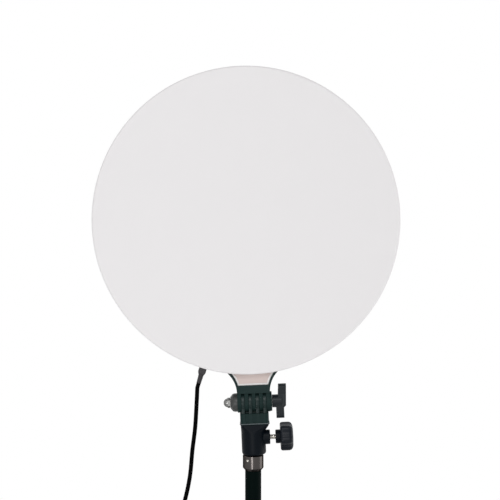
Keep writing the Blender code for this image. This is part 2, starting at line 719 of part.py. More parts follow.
def leg(index, finish, rubber, pivot, floor_tool):
    """One leg along its pivot's +X: a tube flattened at the pivot, and its rubber foot."""
    count = LEG_STEPS
    tube_end = LEG_LENGTH - FOOT_R / 2
    sections = []
    for x, thick, high in (
        (-EAR_R * 0.9, LEG_END_THICK * 0.6, LEG_END_HIGH * 0.5),
        (-EAR_R * 0.5, LEG_END_THICK, LEG_END_HIGH * 0.82),
        (0, LEG_END_THICK, LEG_END_HIGH * 0.82),
        (EAR_R * 2.1, LEG_END_THICK, LEG_END_HIGH),
        (EAR_R * 5, LEG_OD, LEG_OD),
        (tube_end, LEG_OD, LEG_OD),
    ):
        flat = 1 if thick == LEG_OD else 0.55
        ring = []
        for i in range(count):
            turn = 2 * math.pi * i / count
            across, up = math.cos(turn), math.sin(turn)
            across = math.copysign(abs(across) ** flat, across)
            up = math.copysign(abs(up) ** flat, up)
            ring.append((x, across * thick / 2, up * high / 2))
        sections.append(ring)
    slope = (0, math.pi / 2 - LEG_SPREAD, 0)
    made = solid(f"leg_{index}", loft(sections), finish, pivot, rotation=slope)
    hole = turned_shape(rod_profile(PIN_R + FIT, -LEG_OD, LEG_OD), SMALL_STEPS)
    bmesh.ops.transform(hole, matrix=along_y(), verts=hole.verts)
    cut(made, solid(f"leg_{index}_hole_tool", hole, finish, pivot, rotation=slope))

    sleeve = LEG_OD / 2 + FIT
    outer = sleeve + FOOT_WALL
    profile = [(sleeve, LEG_LENGTH - FOOT_SLEEVE), (outer, LEG_LENGTH - FOOT_SLEEVE)]
    profile += [(outer, LEG_LENGTH - FOOT_R)]
    profile += [(r, LEG_LENGTH + h) for r, h in arc((0, 0), FOOT_R, FOOT_NECK, math.pi / 2, 4)]
    profile += [(0, tube_end + FIT), (sleeve, tube_end + FIT)]
    shape = turned_shape(profile, LEG_STEPS, closed=True)
    bmesh.ops.transform(shape, matrix=along_x(), verts=shape.verts)
    foot = solid(f"foot_{index}", shape, rubber, pivot, rotation=slope)
    cut(foot, floor_tool)
    return made, foot


def strut(index, finish, pivot):
    """One strut along its pivot's +X: two bars either side of the leg, joined by a web on top."""
    inner = LEG_OD / 2 + STRUT_GAP
    outline = arc((0, 0), STRUT_HIGH / 2, math.pi / 2, 3 * math.pi / 2, 6)
    outline += arc((STRUT_LENGTH, 0), STRUT_HIGH / 2, -math.pi / 2, math.pi / 2, 6)
    slope = (0, STRUT_OPEN - math.pi / 2, 0)
    bars, web, holes = bmesh.new(), bmesh.new(), bmesh.new()
    across = Matrix.Rotation(-math.pi / 2, 4, "X")
    for side in (-1, 1):
        low, high = sorted((side * inner, side * (inner + STRUT_BAR)))
        add_prism(bars, outline, "Y", low, high)
    low_x, high_x = (share * STRUT_LENGTH for share in STRUT_WEB)
    top = STRUT_HIGH / 2 - 10 * WELD
    low = top - STRUT_WEB_THICK
    web_outline = [(low_x, low), (high_x, low), (high_x, top), (low_x, top)]
    add_prism(web, web_outline, "Y", -inner - STRUT_BAR / 2, inner + STRUT_BAR / 2)
    add_turned(holes, rod_profile(PIN_R + FIT, -LEG_OD, LEG_OD), SMALL_STEPS, across)
    made = solid(f"strut_{index}", bars, finish, pivot, rotation=slope)
    fuse(made, solid(f"strut_{index}_web_tool", web, finish, pivot, rotation=slope))
    rivets = bmesh.new()
    root, face = inner + STRUT_BAR / 2, inner + STRUT_BAR
    head = ((0, root), (RIVET_R, root), (RIVET_R, face))
    head += ((RIVET_TOP_R, face + RIVET_HIGH), (0, face + RIVET_HIGH))
    for side in (-1, 1):
        place = Matrix.Translation((STRUT_LENGTH, 0, 0)) @ Matrix.Rotation(side * math.pi / 2, 4, "X")
        add_turned(rivets, head, 8, place)
    fuse(made, solid(f"strut_{index}_rivet_tool", rivets, finish, pivot, rotation=slope))
    cut(made, solid(f"strut_{index}_hole_tool", holes, finish, pivot, rotation=slope))
    return made


def spigot(finish, parent):
    """The plated stand top: a plug in the tube, a tapered collar and the grooved stud."""
    seat = SPIGOT_SEAT
    groove = seat + GROOVE_SHARE * SPIGOT_HIGH
    profile = (
        (0, TOP_TOP - SPIGOT_PLUG),
        (TOP_OD / 2 - TUBE_WALL - FIT, TOP_TOP - SPIGOT_PLUG),
        (TOP_OD / 2 - TUBE_WALL - FIT, TOP_TOP + FIT),
        (TOP_OD / 2, TOP_TOP + FIT),
        (SPIGOT_COLLAR_R, TOP_TOP + SPIGOT_TAPER),
        (SPIGOT_COLLAR_R, seat - FINE_EDGE),
        (SPIGOT_COLLAR_R - FINE_EDGE, seat),
        (SPIGOT_R, seat),
        (SPIGOT_R, groove - GROOVE_HIGH / 2),
        (GROOVE_R, groove - GROOVE_HIGH / 2 + SOFT_EDGE),
        (GROOVE_R, groove + GROOVE_HIGH / 2 - SOFT_EDGE),
        (SPIGOT_R, groove + GROOVE_HIGH / 2),
        (SPIGOT_R, seat + SPIGOT_HIGH - SOFT_EDGE),
        (SPIGOT_R - SOFT_EDGE, seat + SPIGOT_HIGH),
        (SPIGOT_TIP_R, seat + SPIGOT_HIGH),
        (SPIGOT_TIP_R, seat + SPIGOT_HIGH + SPIGOT_TIP - FINE_EDGE),
        (SPIGOT_TIP_R - FINE_EDGE, seat + SPIGOT_HIGH + SPIGOT_TIP),
        (0, seat + SPIGOT_HIGH + SPIGOT_TIP),
    )
    made = solid("spigot", turned_shape(profile, STUD_STEPS), finish, parent)
    dimple = turned_shape(
        rod_profile(DIMPLE_R, SPIGOT_COLLAR_R - DIMPLE_DEEP, SPIGOT_COLLAR_R + DIMPLE_DEEP), 12
    )
    bmesh.ops.transform(
        dimple, matrix=Matrix.Rotation(DIMPLE_AZIMUTH, 4, "Z") @ along_x(), verts=dimple.verts
    )
    place = (0, 0, seat - DIMPLE_DROP)
    return cut(made, solid("spigot_dimple_tool", dimple, finish, parent, place))


# Bracket


def leaf_outline(radius, end_z):
    """A hinge leaf seen from the side: a disc about the axis, on a neck that runs to end_z.

    The neck is narrow enough to pass the other half's ridge with the hinge at its limit.
    """
    neck = math.sqrt((radius + FIT) ** 2 - VALLEY_HALF**2) - 2 * FIT
    start = math.acos(neck / radius)
    middle = math.pi / 2 if end_z < 0 else -math.pi / 2
    half_turn = math.pi / 2 + start
    points = arc((0, 0), radius, middle - half_turn, middle + half_turn, 12)
    return points + [(points[-1][0], end_z), (points[0][0], end_z)]


def valley_outline(radius, end_z):
    """A ridge seen from the side, hollowed to clear the other half's leaves of this radius."""
    middle = math.pi / 2 if end_z > 0 else -math.pi / 2
    half_turn = math.asin(VALLEY_HALF / (radius + FIT))
    points = arc((0, 0), radius + FIT, middle - half_turn, middle + half_turn, 6)
    return points + [(points[-1][0], end_z), (points[0][0], end_z)]


def socket_body(finish, bracket):
    """The lower half of the tilt hinge: four leaves on a block that runs down into the socket."""
    half_wide, half_deep = HINGE_BASE_WIDE / 2, HINGE_BASE_DEEP / 2
    steps = STUD_STEPS // 4 - 1
    block = rounded_box(half_wide, half_deep, HINGE_BASE_ROUND, steps)
    inset = (half_wide - LEDGE_IN, half_deep - LEDGE_IN, HINGE_BASE_ROUND - LEDGE_IN)
    block = [(x + HINGE_SHIFT, y) for x, y in block]
    ledge = [(x + HINGE_SHIFT, y) for x, y in rounded_box(*inset, steps)]
    ring = arc((0, 0), SOCKET_R, 0, 2 * math.pi, STUD_STEPS)[:-1]
    waist = [((x + 3 * a) / 4, (y + 3 * b) / 4) for (x, y), (a, b) in zip(ledge, ring)]
    edge = SOCKET_EDGE
    sections = [
        [(x, y, -HINGE_BASE_TOP) for x, y in block],
        [(x, y, -HINGE_BASE_LOW) for x, y in block],
        [(x, y, -HINGE_BASE_LOW - LEDGE_IN) for x, y in ledge],
        [(x, y, -SOCKET_SHOULDER + SHOULDER_BLEND) for x, y in waist],
        [(x, y, -SOCKET_SHOULDER) for x, y in ring],
        [(x, y, -SOCKET_BOTTOM + edge) for x, y in ring],
    ]
    for step in (1, 2, 3):
        turn = step * math.pi / 6
        r = SOCKET_R - edge * (1 - math.cos(turn))
        z = -SOCKET_BOTTOM + edge * (1 - math.sin(turn))
        sections.append([(x * r / SOCKET_R, y * r / SOCKET_R, z) for x, y in ring])
    body = solid("socket_body", loft(sections), finish, bracket)

    leaves = bmesh.new()
    for i in range(LOW_LEAVES):
        x = (i - (LOW_LEAVES - 1) / 2) * 2 * LEAF_PITCH
        outline = leaf_outline(LEAF_R, -HINGE_BASE_TOP - ROOT_SINK)
        add_prism(leaves, outline, "X", x - LOW_LEAF / 2, x + LOW_LEAF / 2)
    hinge = (HINGE_SHIFT, 0, 0)
    outline = valley_outline(HIGH_LEAF_R, -HINGE_BASE_TOP - ROOT_SINK)
    ridge = prism(outline, "X", SOFT_EDGE - half_wide, half_wide - SOFT_EDGE)
    fuse(body, solid("socket_ridge_tool", ridge, finish, bracket, hinge))
    fuse(body, solid("socket_leaf_tool", leaves, finish, bracket, hinge))
    boss = turned_shape(rod_profile(BOSS_R, SOCKET_BORE_R + SOFT_EDGE, SOCKET_BOSS_X, SOFT_EDGE), 16)
    bmesh.ops.transform(boss, matrix=along_x(), verts=boss.verts)
    fuse(body, solid("socket_boss_tool", boss, finish, bracket, (0, 0, -KNOB_DROP)))

    holes = bmesh.new()
    bore_top = -SOCKET_BOTTOM + SOCKET_BORE
    bore = rod_profile(SOCKET_BORE_R, -SOCKET_BOTTOM - SOCKET_EDGE, bore_top)
    add_turned(holes, bore, STUD_STEPS, Matrix.Identity(4))
    cut(body, solid("socket_bore_tool", holes, finish, bracket))
    screw = turned_shape(rod_profile(SCREW_R + FIT, 0, 2 * SOCKET_BOSS_X), SMALL_STEPS)
    bmesh.ops.transform(screw, matrix=along_x(), verts=screw.verts)
    cut(body, solid("socket_screw_tool", screw, finish, bracket, (0, 0, -KNOB_DROP)))
    bolt = turned_shape(rod_profile(BOLT_R + FIT, -HINGE_HALF, HINGE_HALF), SMALL_STEPS)
    bmesh.ops.transform(bolt, matrix=along_x(), verts=bolt.verts)
    return cut(body, solid("socket_bolt_tool", bolt, finish, bracket))


def flare_point(z, radius):
    """Half the width of the yoke's flare, or of the neck in it, at a height above the hinge."""
    return FLARE_X - math.sqrt(radius**2 - (z - FLARE_START) ** 2)


def flare_outline(radius, low, high, steps):
    """The flare's closed outline in X and Z, from low to high, both sides."""
    right = []
    for i in range(steps + 1):
        z = low + (high - low) * i / steps
        right.append((flare_point(max(z, FLARE_START), radius), z))
    return right + [(-x, z) for x, z in reversed(right)]


def yoke(finish, head):
    """The upper half of the tilt hinge: five leaves under a flared saddle with a tongue behind."""
    back = YOKE_DEEP / 2
    outline = flare_outline(FLARE_R, YOKE_ROOT, FLARE_TOP, 8)
    body = solid("yoke", prism(outline, "Y", -back + YOKE_FACE_IN, back), finish, head)

    leaves = bmesh.new()
    for i in range(LOW_LEAVES + 1):
        x = (i - LOW_LEAVES / 2) * 2 * LEAF_PITCH
        outline = leaf_outline(HIGH_LEAF_R, YOKE_ROOT + ROOT_SINK)
        add_prism(leaves, outline, "X", x - HIGH_LEAF / 2, x + HIGH_LEAF / 2)
    inner = HINGE_HALF - HIGH_LEAF / 2
    ridge = prism(valley_outline(LEAF_R, YOKE_ROOT + ROOT_SINK), "X", -inner, inner)
    fuse(body, solid("yoke_ridge_tool", ridge, finish, head))
    fuse(body, solid("yoke_leaf_tool", leaves, finish, head))

    bosses = bmesh.new()
    nut_boss = (
        (0, inner),
        (NUT_BOSS_R, inner),
        (NUT_BOSS_R, HINGE_HALF + NUT_BOSS_STEP),
        (NUT_BOSS_MID_R, NUT_BOSS_X - NUT_BOSS_CONE),
        (NUT_BOSS_END_R, NUT_BOSS_X),
        (0, NUT_BOSS_X),
    )
    add_turned(bosses, nut_boss, 16, along_x(low_first=False))
    pad = rod_profile(PAD_R, inner, HINGE_HALF + PAD_OUT, FINE_EDGE)
    add_turned(bosses, pad, 16, along_x())
    fuse(body, solid("yoke_boss_tool", bosses, finish, head))

    tongue_low = YOKE_TOP + ROOT_SINK
    half = TONGUE_WIDE / 2
    top = arc((half - TONGUE_ROUND, TONGUE_TOP - TONGUE_ROUND), TONGUE_ROUND, 0, math.pi / 2, 5)
    outline = [(half, tongue_low)] + top
    outline += [(-x, z) for x, z in reversed(outline)]
    behind = RIM_BACK_Y + FIT
    tongue = prism(outline, "Y", behind, behind + TONGUE_THICK)
    fuse(body, solid("yoke_tongue_tool", tongue, finish, head))

    pocket = flare_outline(FLARE_R + SADDLE_WALL, YOKE_TOP, FLARE_TOP + YOKE_DEEP / 4, 8)
    cut(body, solid("yoke_pocket_tool", prism(pocket, "Y", -YOKE_DEEP, behind), finish, head))
    room = turned_shape(rod_profile(PANEL_R + 2 * FIT, FRONT_Y, behind), DISC_STEPS)
    place, turn = facing_back()
    cut(body, solid("yoke_panel_tool", room, finish, head, place, turn))
    holes = bmesh.new()
    bolt_bore = rod_profile(BOLT_R + FIT, -2 * HINGE_HALF, 2 * HINGE_HALF)
    add_turned(holes, bolt_bore, SMALL_STEPS, along_x())
    for side in (-1, 1):
        place = Matrix.Translation((side * TONGUE_SCREW_X, 0, TONGUE_SCREW_Z))
        place = place @ along_y()
        add_turned(holes, rod_profile(CASE_SCREW_R + FIT, -YOKE_DEEP, back), 12, place)
    return cut(body, solid("yoke_hole_tool", holes, finish, head))


def cap_nut(finish, head):
    """The plated acorn nut on the bolt's end."""
    flat_r = NUT_FLATS / 2 / math.cos(math.pi / 6)
    start = NUT_BOSS_X + FIT
    shape = bmesh.new()
    corners = arc((0, 0), flat_r, 0, 2 * math.pi, 6)[:-1]
    add_prism(shape, corners, "Z", start, start + NUT_HEX)
    bmesh.ops.transform(shape, matrix=along_x(low_first=False), verts=shape.verts)
    nut = solid("cap_nut", shape, finish, head)
    dome_r = NUT_FLATS / 2 - FIT
    rise = NUT_LENGTH - NUT_HEX
    dome = [(0, start + FIT), (dome_r, start + FIT)]
    dome += [
        (dome_r * math.cos(t), start + NUT_HEX + rise * math.sin(t))
        for t in [i * math.pi / 10 for i in range(6)]
    ]
    dome[-1] = (0, start + NUT_LENGTH)
    body = turned_shape(dome, SMALL_STEPS)
    bmesh.ops.transform(body, matrix=along_x(low_first=False), verts=body.verts)
    fuse(nut, solid("nut_dome_tool", body, finish, head))
    hole = turned_shape(rod_profile(BOLT_R + FIT, 0, start + NUT_HEX), SMALL_STEPS)
    bmesh.ops.transform(hole, matrix=along_x(low_first=False), verts=hole.verts)
    return cut(nut, solid("nut_hole_tool", hole, finish, head))


def tilt_handle(finish, metal, pivot):
    """The T-handle and the bolt that it turns, along +X."""
    inner, outer, tip = HANDLE_X, HANDLE_X + HANDLE_THICK, HANDLE_LONG / 2
    side = (
        (inner + HANDLE_FLARE, tip),
        (inner, HANDLE_NECK),
        (inner - HANDLE_STEP, -HANDLE_NECK),
        (inner - HANDLE_STEP, -tip),
        (outer - HANDLE_STEP, -tip),
        (outer - HANDLE_STEP, -HANDLE_NECK - HANDLE_STEP),
        (outer, -HANDLE_NECK),
        (outer + HANDLE_FLARE, tip),
    )
    bar = solid("tilt_handle", prism(side, "Y", -HANDLE_WIDE / 2, HANDLE_WIDE / 2), finish, pivot)
    soften(bar, HANDLE_EDGE, angle=60)
    ends = rounded_box(HANDLE_WIDE / 2 - WELD, tip - WELD, HANDLE_WIDE / 2 - SOFT_EDGE, steps=5)
    ends = prism(ends, "X", 0, 2 * outer)
    boolean(bar, solid("handle_end_tool", ends, finish, pivot), "INTERSECT")
    start = HINGE_HALF + PAD_OUT + FIT
    stem = turned_shape(rod_profile(HANDLE_STEM_R, start, HANDLE_X + HANDLE_THICK / 2), 16)
    bmesh.ops.transform(stem, matrix=along_x(), verts=stem.verts)
    fuse(bar, solid("handle_stem_tool", stem, finish, pivot))
    bolt_end = start + BOLT_INTO_HANDLE
    hole = turned_shape(rod_profile(BOLT_R + FIT, 0, bolt_end + FIT), SMALL_STEPS)
    bmesh.ops.transform(hole, matrix=along_x(), verts=hole.verts)
    cut(bar, solid("handle_hole_tool", hole, finish, pivot))
    bolt = turned_shape(rod_profile(BOLT_R, -NUT_BOSS_X - BOLT_INTO_NUT, bolt_end), SMALL_STEPS)
    bmesh.ops.transform(bolt, matrix=along_x(), verts=bolt.verts)
    return bar, solid("hinge_bolt", bolt, metal, pivot)


# Panel


def facing_back():
    """Where a body turned about Z goes to stand in the panel, its +Z towards the back."""
    return (0, 0, PANEL_CENTRE), (-math.pi / 2, 0, 0)


def rear_shell(finish, head):
    """The white rear housing with its rim, bulge, vents and the neck that drops into the yoke."""
    wall = SHELL_WALL
    rim, lip = SHELL_RIM_R, SHELL_LIP_R
    step_y = SKIRT_BACK_Y + FIT
    lip_y = FRONT_Y + DIFFUSER_THICK + FIT
    outside = [(0, BULGE_Y), (BULGE_R - BULGE_EDGE, BULGE_Y), (BULGE_R, BULGE_Y - BULGE_EDGE)]
    outside += [(BULGE_R + BULGE_EDGE, RIM_BACK_Y)]
    outside += arc((rim - RIM_ROUND, RIM_BACK_Y - RIM_ROUND), RIM_ROUND, math.pi / 2, 0, 3)
    outside += [(rim, step_y), (lip, step_y), (lip, lip_y)]
    inside = [(lip - wall, lip_y), (lip - wall, RIM_BACK_Y - RIM_ROUND)]
    inside += [(lip - RIM_ROUND, RIM_BACK_Y - wall), (BULGE_R, RIM_BACK_Y - wall)]
    inside += [(BULGE_R - 2 * wall, BULGE_Y - wall), (0, BULGE_Y - wall)]
    place, turn = facing_back()
    shell = solid("rear_shell", turned_shape(outside + inside, DISC_STEPS), finish, head, place, turn)

    neck_low = YOKE_TOP + FIT
    neck_high = PANEL_CENTRE - math.sqrt(lip**2 - NECK_TOP_X**2) + NECK_SINK
    outline = flare_outline(NECK_SIDE_R, neck_low, neck_high, 8)
    neck = solid("neck_tool", prism(outline, "Y", NECK_FRONT_Y, NECK_BACK_Y), finish, head)
    recess = flare_outline(NECK_SIDE_R + NECK_RIM, neck_low + NECK_RIM, neck_high - NECK_BAND, 8)
    recess_cut = prism(recess, "Y", 2 * NECK_FRONT_Y, NECK_FRONT_Y + NECK_RECESS)
    cut(neck, solid("neck_recess_tool", recess_cut, finish, head))
    inner = turned_shape(rod_profile(lip - wall - 5 * WELD, -DRILL, DRILL), DISC_STEPS)
    cut(neck, solid("neck_inner_tool", inner, finish, head, place, turn))
    fuse(shell, neck)

    holes = bmesh.new()
    for side, count, long, radius in (
        (1, VENT_SLOTS, VENT_LONG, VENT_R),
        (-1, LOW_VENT_SLOTS, LOW_VENT_LONG, LOW_VENT_R),
    ):
        for i in range(count):
            swing = (i - (count - 1) / 2) * VENT_STEP
            start = len(holes.verts)
            add_prism(holes, box_outline(VENT_WIDE / 2, long / 2, 0, side * radius), "Y", 0, DRILL)
            holes.verts.ensure_lookup_table()
            spin = Matrix.Rotation(side * swing, 4, "Y")
            bmesh.ops.transform(holes, matrix=spin, verts=holes.verts[start:])
    cut(shell, solid("vent_tool", holes, finish, head, (0, 0, PANEL_CENTRE)))

    bores = bmesh.new()
    back = Matrix.Rotation(-math.pi / 2, 4, "X")
    shaft = rod_profile(DIAL_SHAFT_R + FIT, 0, DRILL)
    for side in (-1, 1):
        add_turned(bores, shaft, SMALL_STEPS, Matrix.Translation((side * DIAL_X, 0, CONTROL_Z)) @ back)
        place = Matrix.Translation((side * TONGUE_SCREW_X, 0, TONGUE_SCREW_Z)) @ back
        add_turned(bores, rod_profile(CASE_SCREW_R + FIT, 0, DRILL), 12, place)
    window = box_outline(ROCKER_WIDE / 2 + FIT, ROCKER_R + FIT, 0, CONTROL_Z)
    add_prism(bores, window, "Y", 0, DRILL)
    gland_bore = rod_profile(GLAND_NECK_R + FIT, -DRILL / 3, DRILL)
    add_turned(bores, gland_bore, SMALL_STEPS, gland_place())
    return cut(shell, solid("shell_bore_tool", bores, finish, head))


def gland_place():
    """From the strain relief's own axis, +Z outwards from the rim's surface, to the head."""
    centre = Matrix.Translation((0, GLAND_Y, PANEL_CENTRE))
    outwards = Matrix.Rotation(math.pi + GLAND_ANGLE, 4, "Y")
    return centre @ outwards @ Matrix.Translation((0, 0, SHELL_RIM_R))


def diffuser(finish, head):
    """The opal front: a flat disc with a soft edge and a skirt over the shell's lip."""
    edge = DIFFUSER_EDGE
    thick = DIFFUSER_THICK
    profile = [(0, FRONT_Y), (PANEL_R - edge, FRONT_Y)]
    profile += [
        (PANEL_R - edge + edge * math.sin(t), FRONT_Y + edge * (1 - math.cos(t)))
        for t in [i * math.pi / 6 for i in range(1, 4)]
    ]
    profile += [(PANEL_R, SKIRT_BACK_Y), (PANEL_R - thick, SKIRT_BACK_Y)]
    profile += [(PANEL_R - thick, FRONT_Y + thick), (0, FRONT_Y + thick)]
    place, turn = facing_back()
    return solid("diffuser", turned_shape(profile, DISC_STEPS), finish, head, place, turn)


def light_engine(finishes, head):
    """What lights the panel: the LED board, its reflector ring and the driver box."""
    place, turn = facing_back()
    board_back = BOARD_FRONT_Y + BOARD_THICK
    disc = turned_shape(rod_profile(BOARD_R, BOARD_FRONT_Y, board_back), DISC_STEPS)
    board = solid("led_board", disc, finishes["board"], head, place, turn)
    leds = bmesh.new()
    for radius, count in zip(LED_RING_R, LED_RING_COUNT):
        for i in range(count):
            spin = Matrix.Rotation(2 * math.pi * i / count, 4, "Z")
            start = len(leds.verts)
            outline = box_outline(LED_SIZE / 2, LED_SIZE / 2, radius, 0)
            add_prism(leds, outline, "Z", BOARD_FRONT_Y - LED_HIGH, BOARD_FRONT_Y + BOARD_THICK / 3)
            leds.verts.ensure_lookup_table()
            bmesh.ops.transform(leds, matrix=spin, verts=leds.verts[start:])
    fuse(board, solid("led_tool", leds, finishes["board"], head, place, turn))
    ring = ring_profile(
        BOARD_R, BOARD_R - REFLECTOR_WALL, FRONT_Y + DIFFUSER_THICK + FIT, BOARD_FRONT_Y - FIT
    )
    reflector = turned_shape(ring, DISC_STEPS, closed=True)
    solid("reflector_ring", reflector, finishes["board"], head, place, turn)
    wide, deep, high = DRIVER_SIZE
    low_y = board_back + FIT
    case = prism(rounded_box(wide / 2, high / 2, DRIVER_ROUND), "Y", low_y, low_y + deep)
    solid("driver_box", case, finishes["board"], head, (0, 0, DRIVER_Z))


def control_plate(finish, head):
    """The dark fascia on the bulge, with holes for the two dials and the switch."""
    back = BULGE_Y + FIT
    outline = rounded_box(CONTROL_WIDE / 2, CONTROL_HIGH / 2, CONTROL_ROUND)
    slab = prism(outline, "Y", back, back + CONTROL_THICK)
    plate = solid("control_plate", slab, finish, head, (0, 0, CONTROL_Z))
    holes = bmesh.new()
    turn = Matrix.Rotation(-math.pi / 2, 4, "X")
    for side in (-1, 1):
        place = Matrix.Translation((side * DIAL_X, 0, 0)) @ turn
        add_turned(holes, rod_profile(DIAL_SHAFT_R + FIT, 0, DRILL), SMALL_STEPS, place)
    add_prism(holes, box_outline(ROCKER_WIDE / 2 + FIT, ROCKER_R + FIT), "Y", 0, DRILL)
    return cut(plate, solid("plate_hole_tool", holes, finish, head, (0, 0, CONTROL_Z)))


def dial(name, finish, head, x):
    """A fluted control dial with its shaft, its origin on its own axis."""
    base = BULGE_Y + FIT + CONTROL_THICK + FIT
    count = 3 * DIAL_FLUTES
    rings = []
    for h, share in ((0, 1), (DIAL_HIGH * 0.75, 0.94), (DIAL_HIGH, 0.84)):
        ring = []
        for i in range(count):
            turn = 2 * math.pi * i / count
            r = DIAL_R * share * (1 if i % 3 else DIAL_FLUTE)
            ring.append((r * math.cos(turn), base + h, r * math.sin(turn)))
        rings.append(ring)
    made = solid(name, loft(rings), finish, head, (x, 0, CONTROL_Z))
    shaft = rod_profile(DIAL_SHAFT_R, base - DIAL_SHAFT, base + DIAL_HIGH / 4)
    shaft = turned_shape(shaft, SMALL_STEPS)
    bmesh.ops.transform(shaft, matrix=Matrix.Rotation(-math.pi / 2, 4, "X"), verts=shaft.verts)
    fuse(made, solid(name + "_shaft_tool", shaft, finish, head, (x, 0, CONTROL_Z)))
    outline = box_outline(DIAL_MARK_WIDE / 2, DIAL_R / 3, 0, DIAL_R / 2)
    mark = prism(outline, "Y", base + DIAL_HIGH - DIAL_MARK_DEEP, base + 2 * DIAL_HIGH)
    return cut(made, solid(name + "_mark_tool", mark, finish, head, (x, 0, CONTROL_Z)))


def rocker(finish, head):
    """The power rocker, its origin on its pivot. It rests pressed at the bottom."""
    out, up = ROCKER_R * math.sin(ROCKER_TIP), ROCKER_R * math.cos(ROCKER_TIP)
    back = ROCKER_BACK / 2
    outline = [(out, up), (ROCKER_DIP, 0), (out, -up), (-ROCKER_DEEP, -back), (-ROCKER_DEEP, back)]
    shape = prism(outline, "X", -ROCKER_WIDE / 2, ROCKER_WIDE / 2)
    pivot_y = BULGE_Y + FIT + CONTROL_THICK - ROCKER_SINK
    return solid("power_rocker", shape, finish, head, (0, pivot_y, CONTROL_Z), (ROCKER_THROW, 0, 0))


def machine_screw(name, finish, head, x, y, z):
    """A pan-head screw whose head sits on the face at y and whose shank runs to the front."""
    profile = (
        (0, -CASE_SHANK),
        (CASE_SCREW_R, -CASE_SHANK),
        (CASE_SCREW_R, FIT),
        (CASE_HEAD_R, FIT),
        (CASE_HEAD_R, FIT + CASE_HEAD / 2),
        (CASE_HEAD_R - CASE_HEAD / 2, FIT + CASE_HEAD),
        (0, FIT + CASE_HEAD),
    )
    shape = turned_shape(profile, SMALL_STEPS)
    return solid(name, shape, finish, head, (x, y, z), (-math.pi / 2, 0, 0))


def strain_relief(finish, head):
    """The piece that holds the cord in the rim: a waist, a tapered block and a thin sleeve."""
    profile = (
        (0, -GLAND_IN),
        (GLAND_NECK_R, -GLAND_IN),
        (GLAND_NECK_R, FIT),
        (GLAND_R, 2 * FIT),
        (GLAND_R, GLAND_OUT / 2),
        (GLAND_END_R, GLAND_OUT),
        (SLEEVE_R, GLAND_OUT),
        (SLEEVE_END_R, SLEEVE_OUT),
        (0, SLEEVE_OUT),
    )
    shape = turned_shape(profile, SMALL_STEPS)
    bmesh.ops.transform(shape, matrix=gland_place(), verts=shape.verts)
    return solid("strain_relief", shape, finish, head)


# Cord


def smooth_route(points, step):
    """Points about a step apart on a smooth curve through the given points."""
    ends = [2 * points[0] - points[1]] + list(points) + [2 * points[-1] - points[-2]]
    fine = []
    for a, b, c, d in zip(ends, ends[1:], ends[2:], ends[3:]):
        for i in range(FINE_STEPS):
            t = i / FINE_STEPS
            bend = (2 * a - 5 * b + 4 * c - d) * t**2 + (3 * b - a - 3 * c + d) * t**3
            fine.append(b + 0.5 * ((c - a) * t + bend))
    fine.append(points[-1].copy())
    total = sum((q - p).length for p, q in zip(fine, fine[1:]))
    count = max(2, round(total / step))
    spaced, walked, target = [fine[0]], 0.0, total / count
    for p, q in zip(fine, fine[1:]):
        length = (q - p).length
        while length and walked + length >= target and len(spaced) < count:
            spaced.append(p.lerp(q, (target - walked) / length))
            target += total / count
        walked += length
    return spaced + [fine[-1]]


def coil_points():
    """The coil's centreline: out along the floor, a climb, then in again on top, and out to its end."""
    centre = Vector((COIL_X, COIL_Y, 0))
    turns = 2 * COIL_TURNS + COIL_CLIMB
    count = round(turns * LOOP_STEPS)
    points = []
    for i in range(count + 1):
        t = turns * i / count
        if t < COIL_TURNS:
            radius, z = COIL_OUTER_R - COIL_PITCH * t, COIL_LOW_Z
        elif t < COIL_TURNS + COIL_CLIMB:
            share = (t - COIL_TURNS) / COIL_CLIMB
            radius = COIL_INNER_R
            z = COIL_LOW_Z + COIL_LAYER * share * share * (3 - 2 * share)
        else:
            radius = COIL_INNER_R + COIL_PITCH * (t - COIL_TURNS - COIL_CLIMB)
            z = COIL_LOW_Z + COIL_LAYER
        turn = COIL_START - 2 * math.pi * t
        points.append(centre + Vector((radius * math.cos(turn), radius * math.sin(turn), z)))
    return points


def tube_curve(name, points, radius, resolution, finish, parent):
    data = bpy.data.curves.new(name, "CURVE")
    data.dimensions = "3D"
    line = data.splines.new("POLY")
    line.points.add(len(points) - 1)
    for slot, p in zip(line.points, points):
        slot.co = (*p, 1)
    data.bevel_depth = radius
    data.bevel_resolution = resolution
    data.use_fill_caps = True
    data.materials.append(finish)
    obj = bpy.data.objects.new(name, data)
    bpy.context.scene.collection.objects.link(obj)
    obj.parent = parent
    return obj


def least_gap(points):
    """The smallest gap between the coil's own turns, measured between its points."""
    apart = LOOP_STEPS // 2
    nearest = min((p - q).length for i, p in enumerate(points) for q in points[i + apart :])
    return nearest - 2 * CORD_R


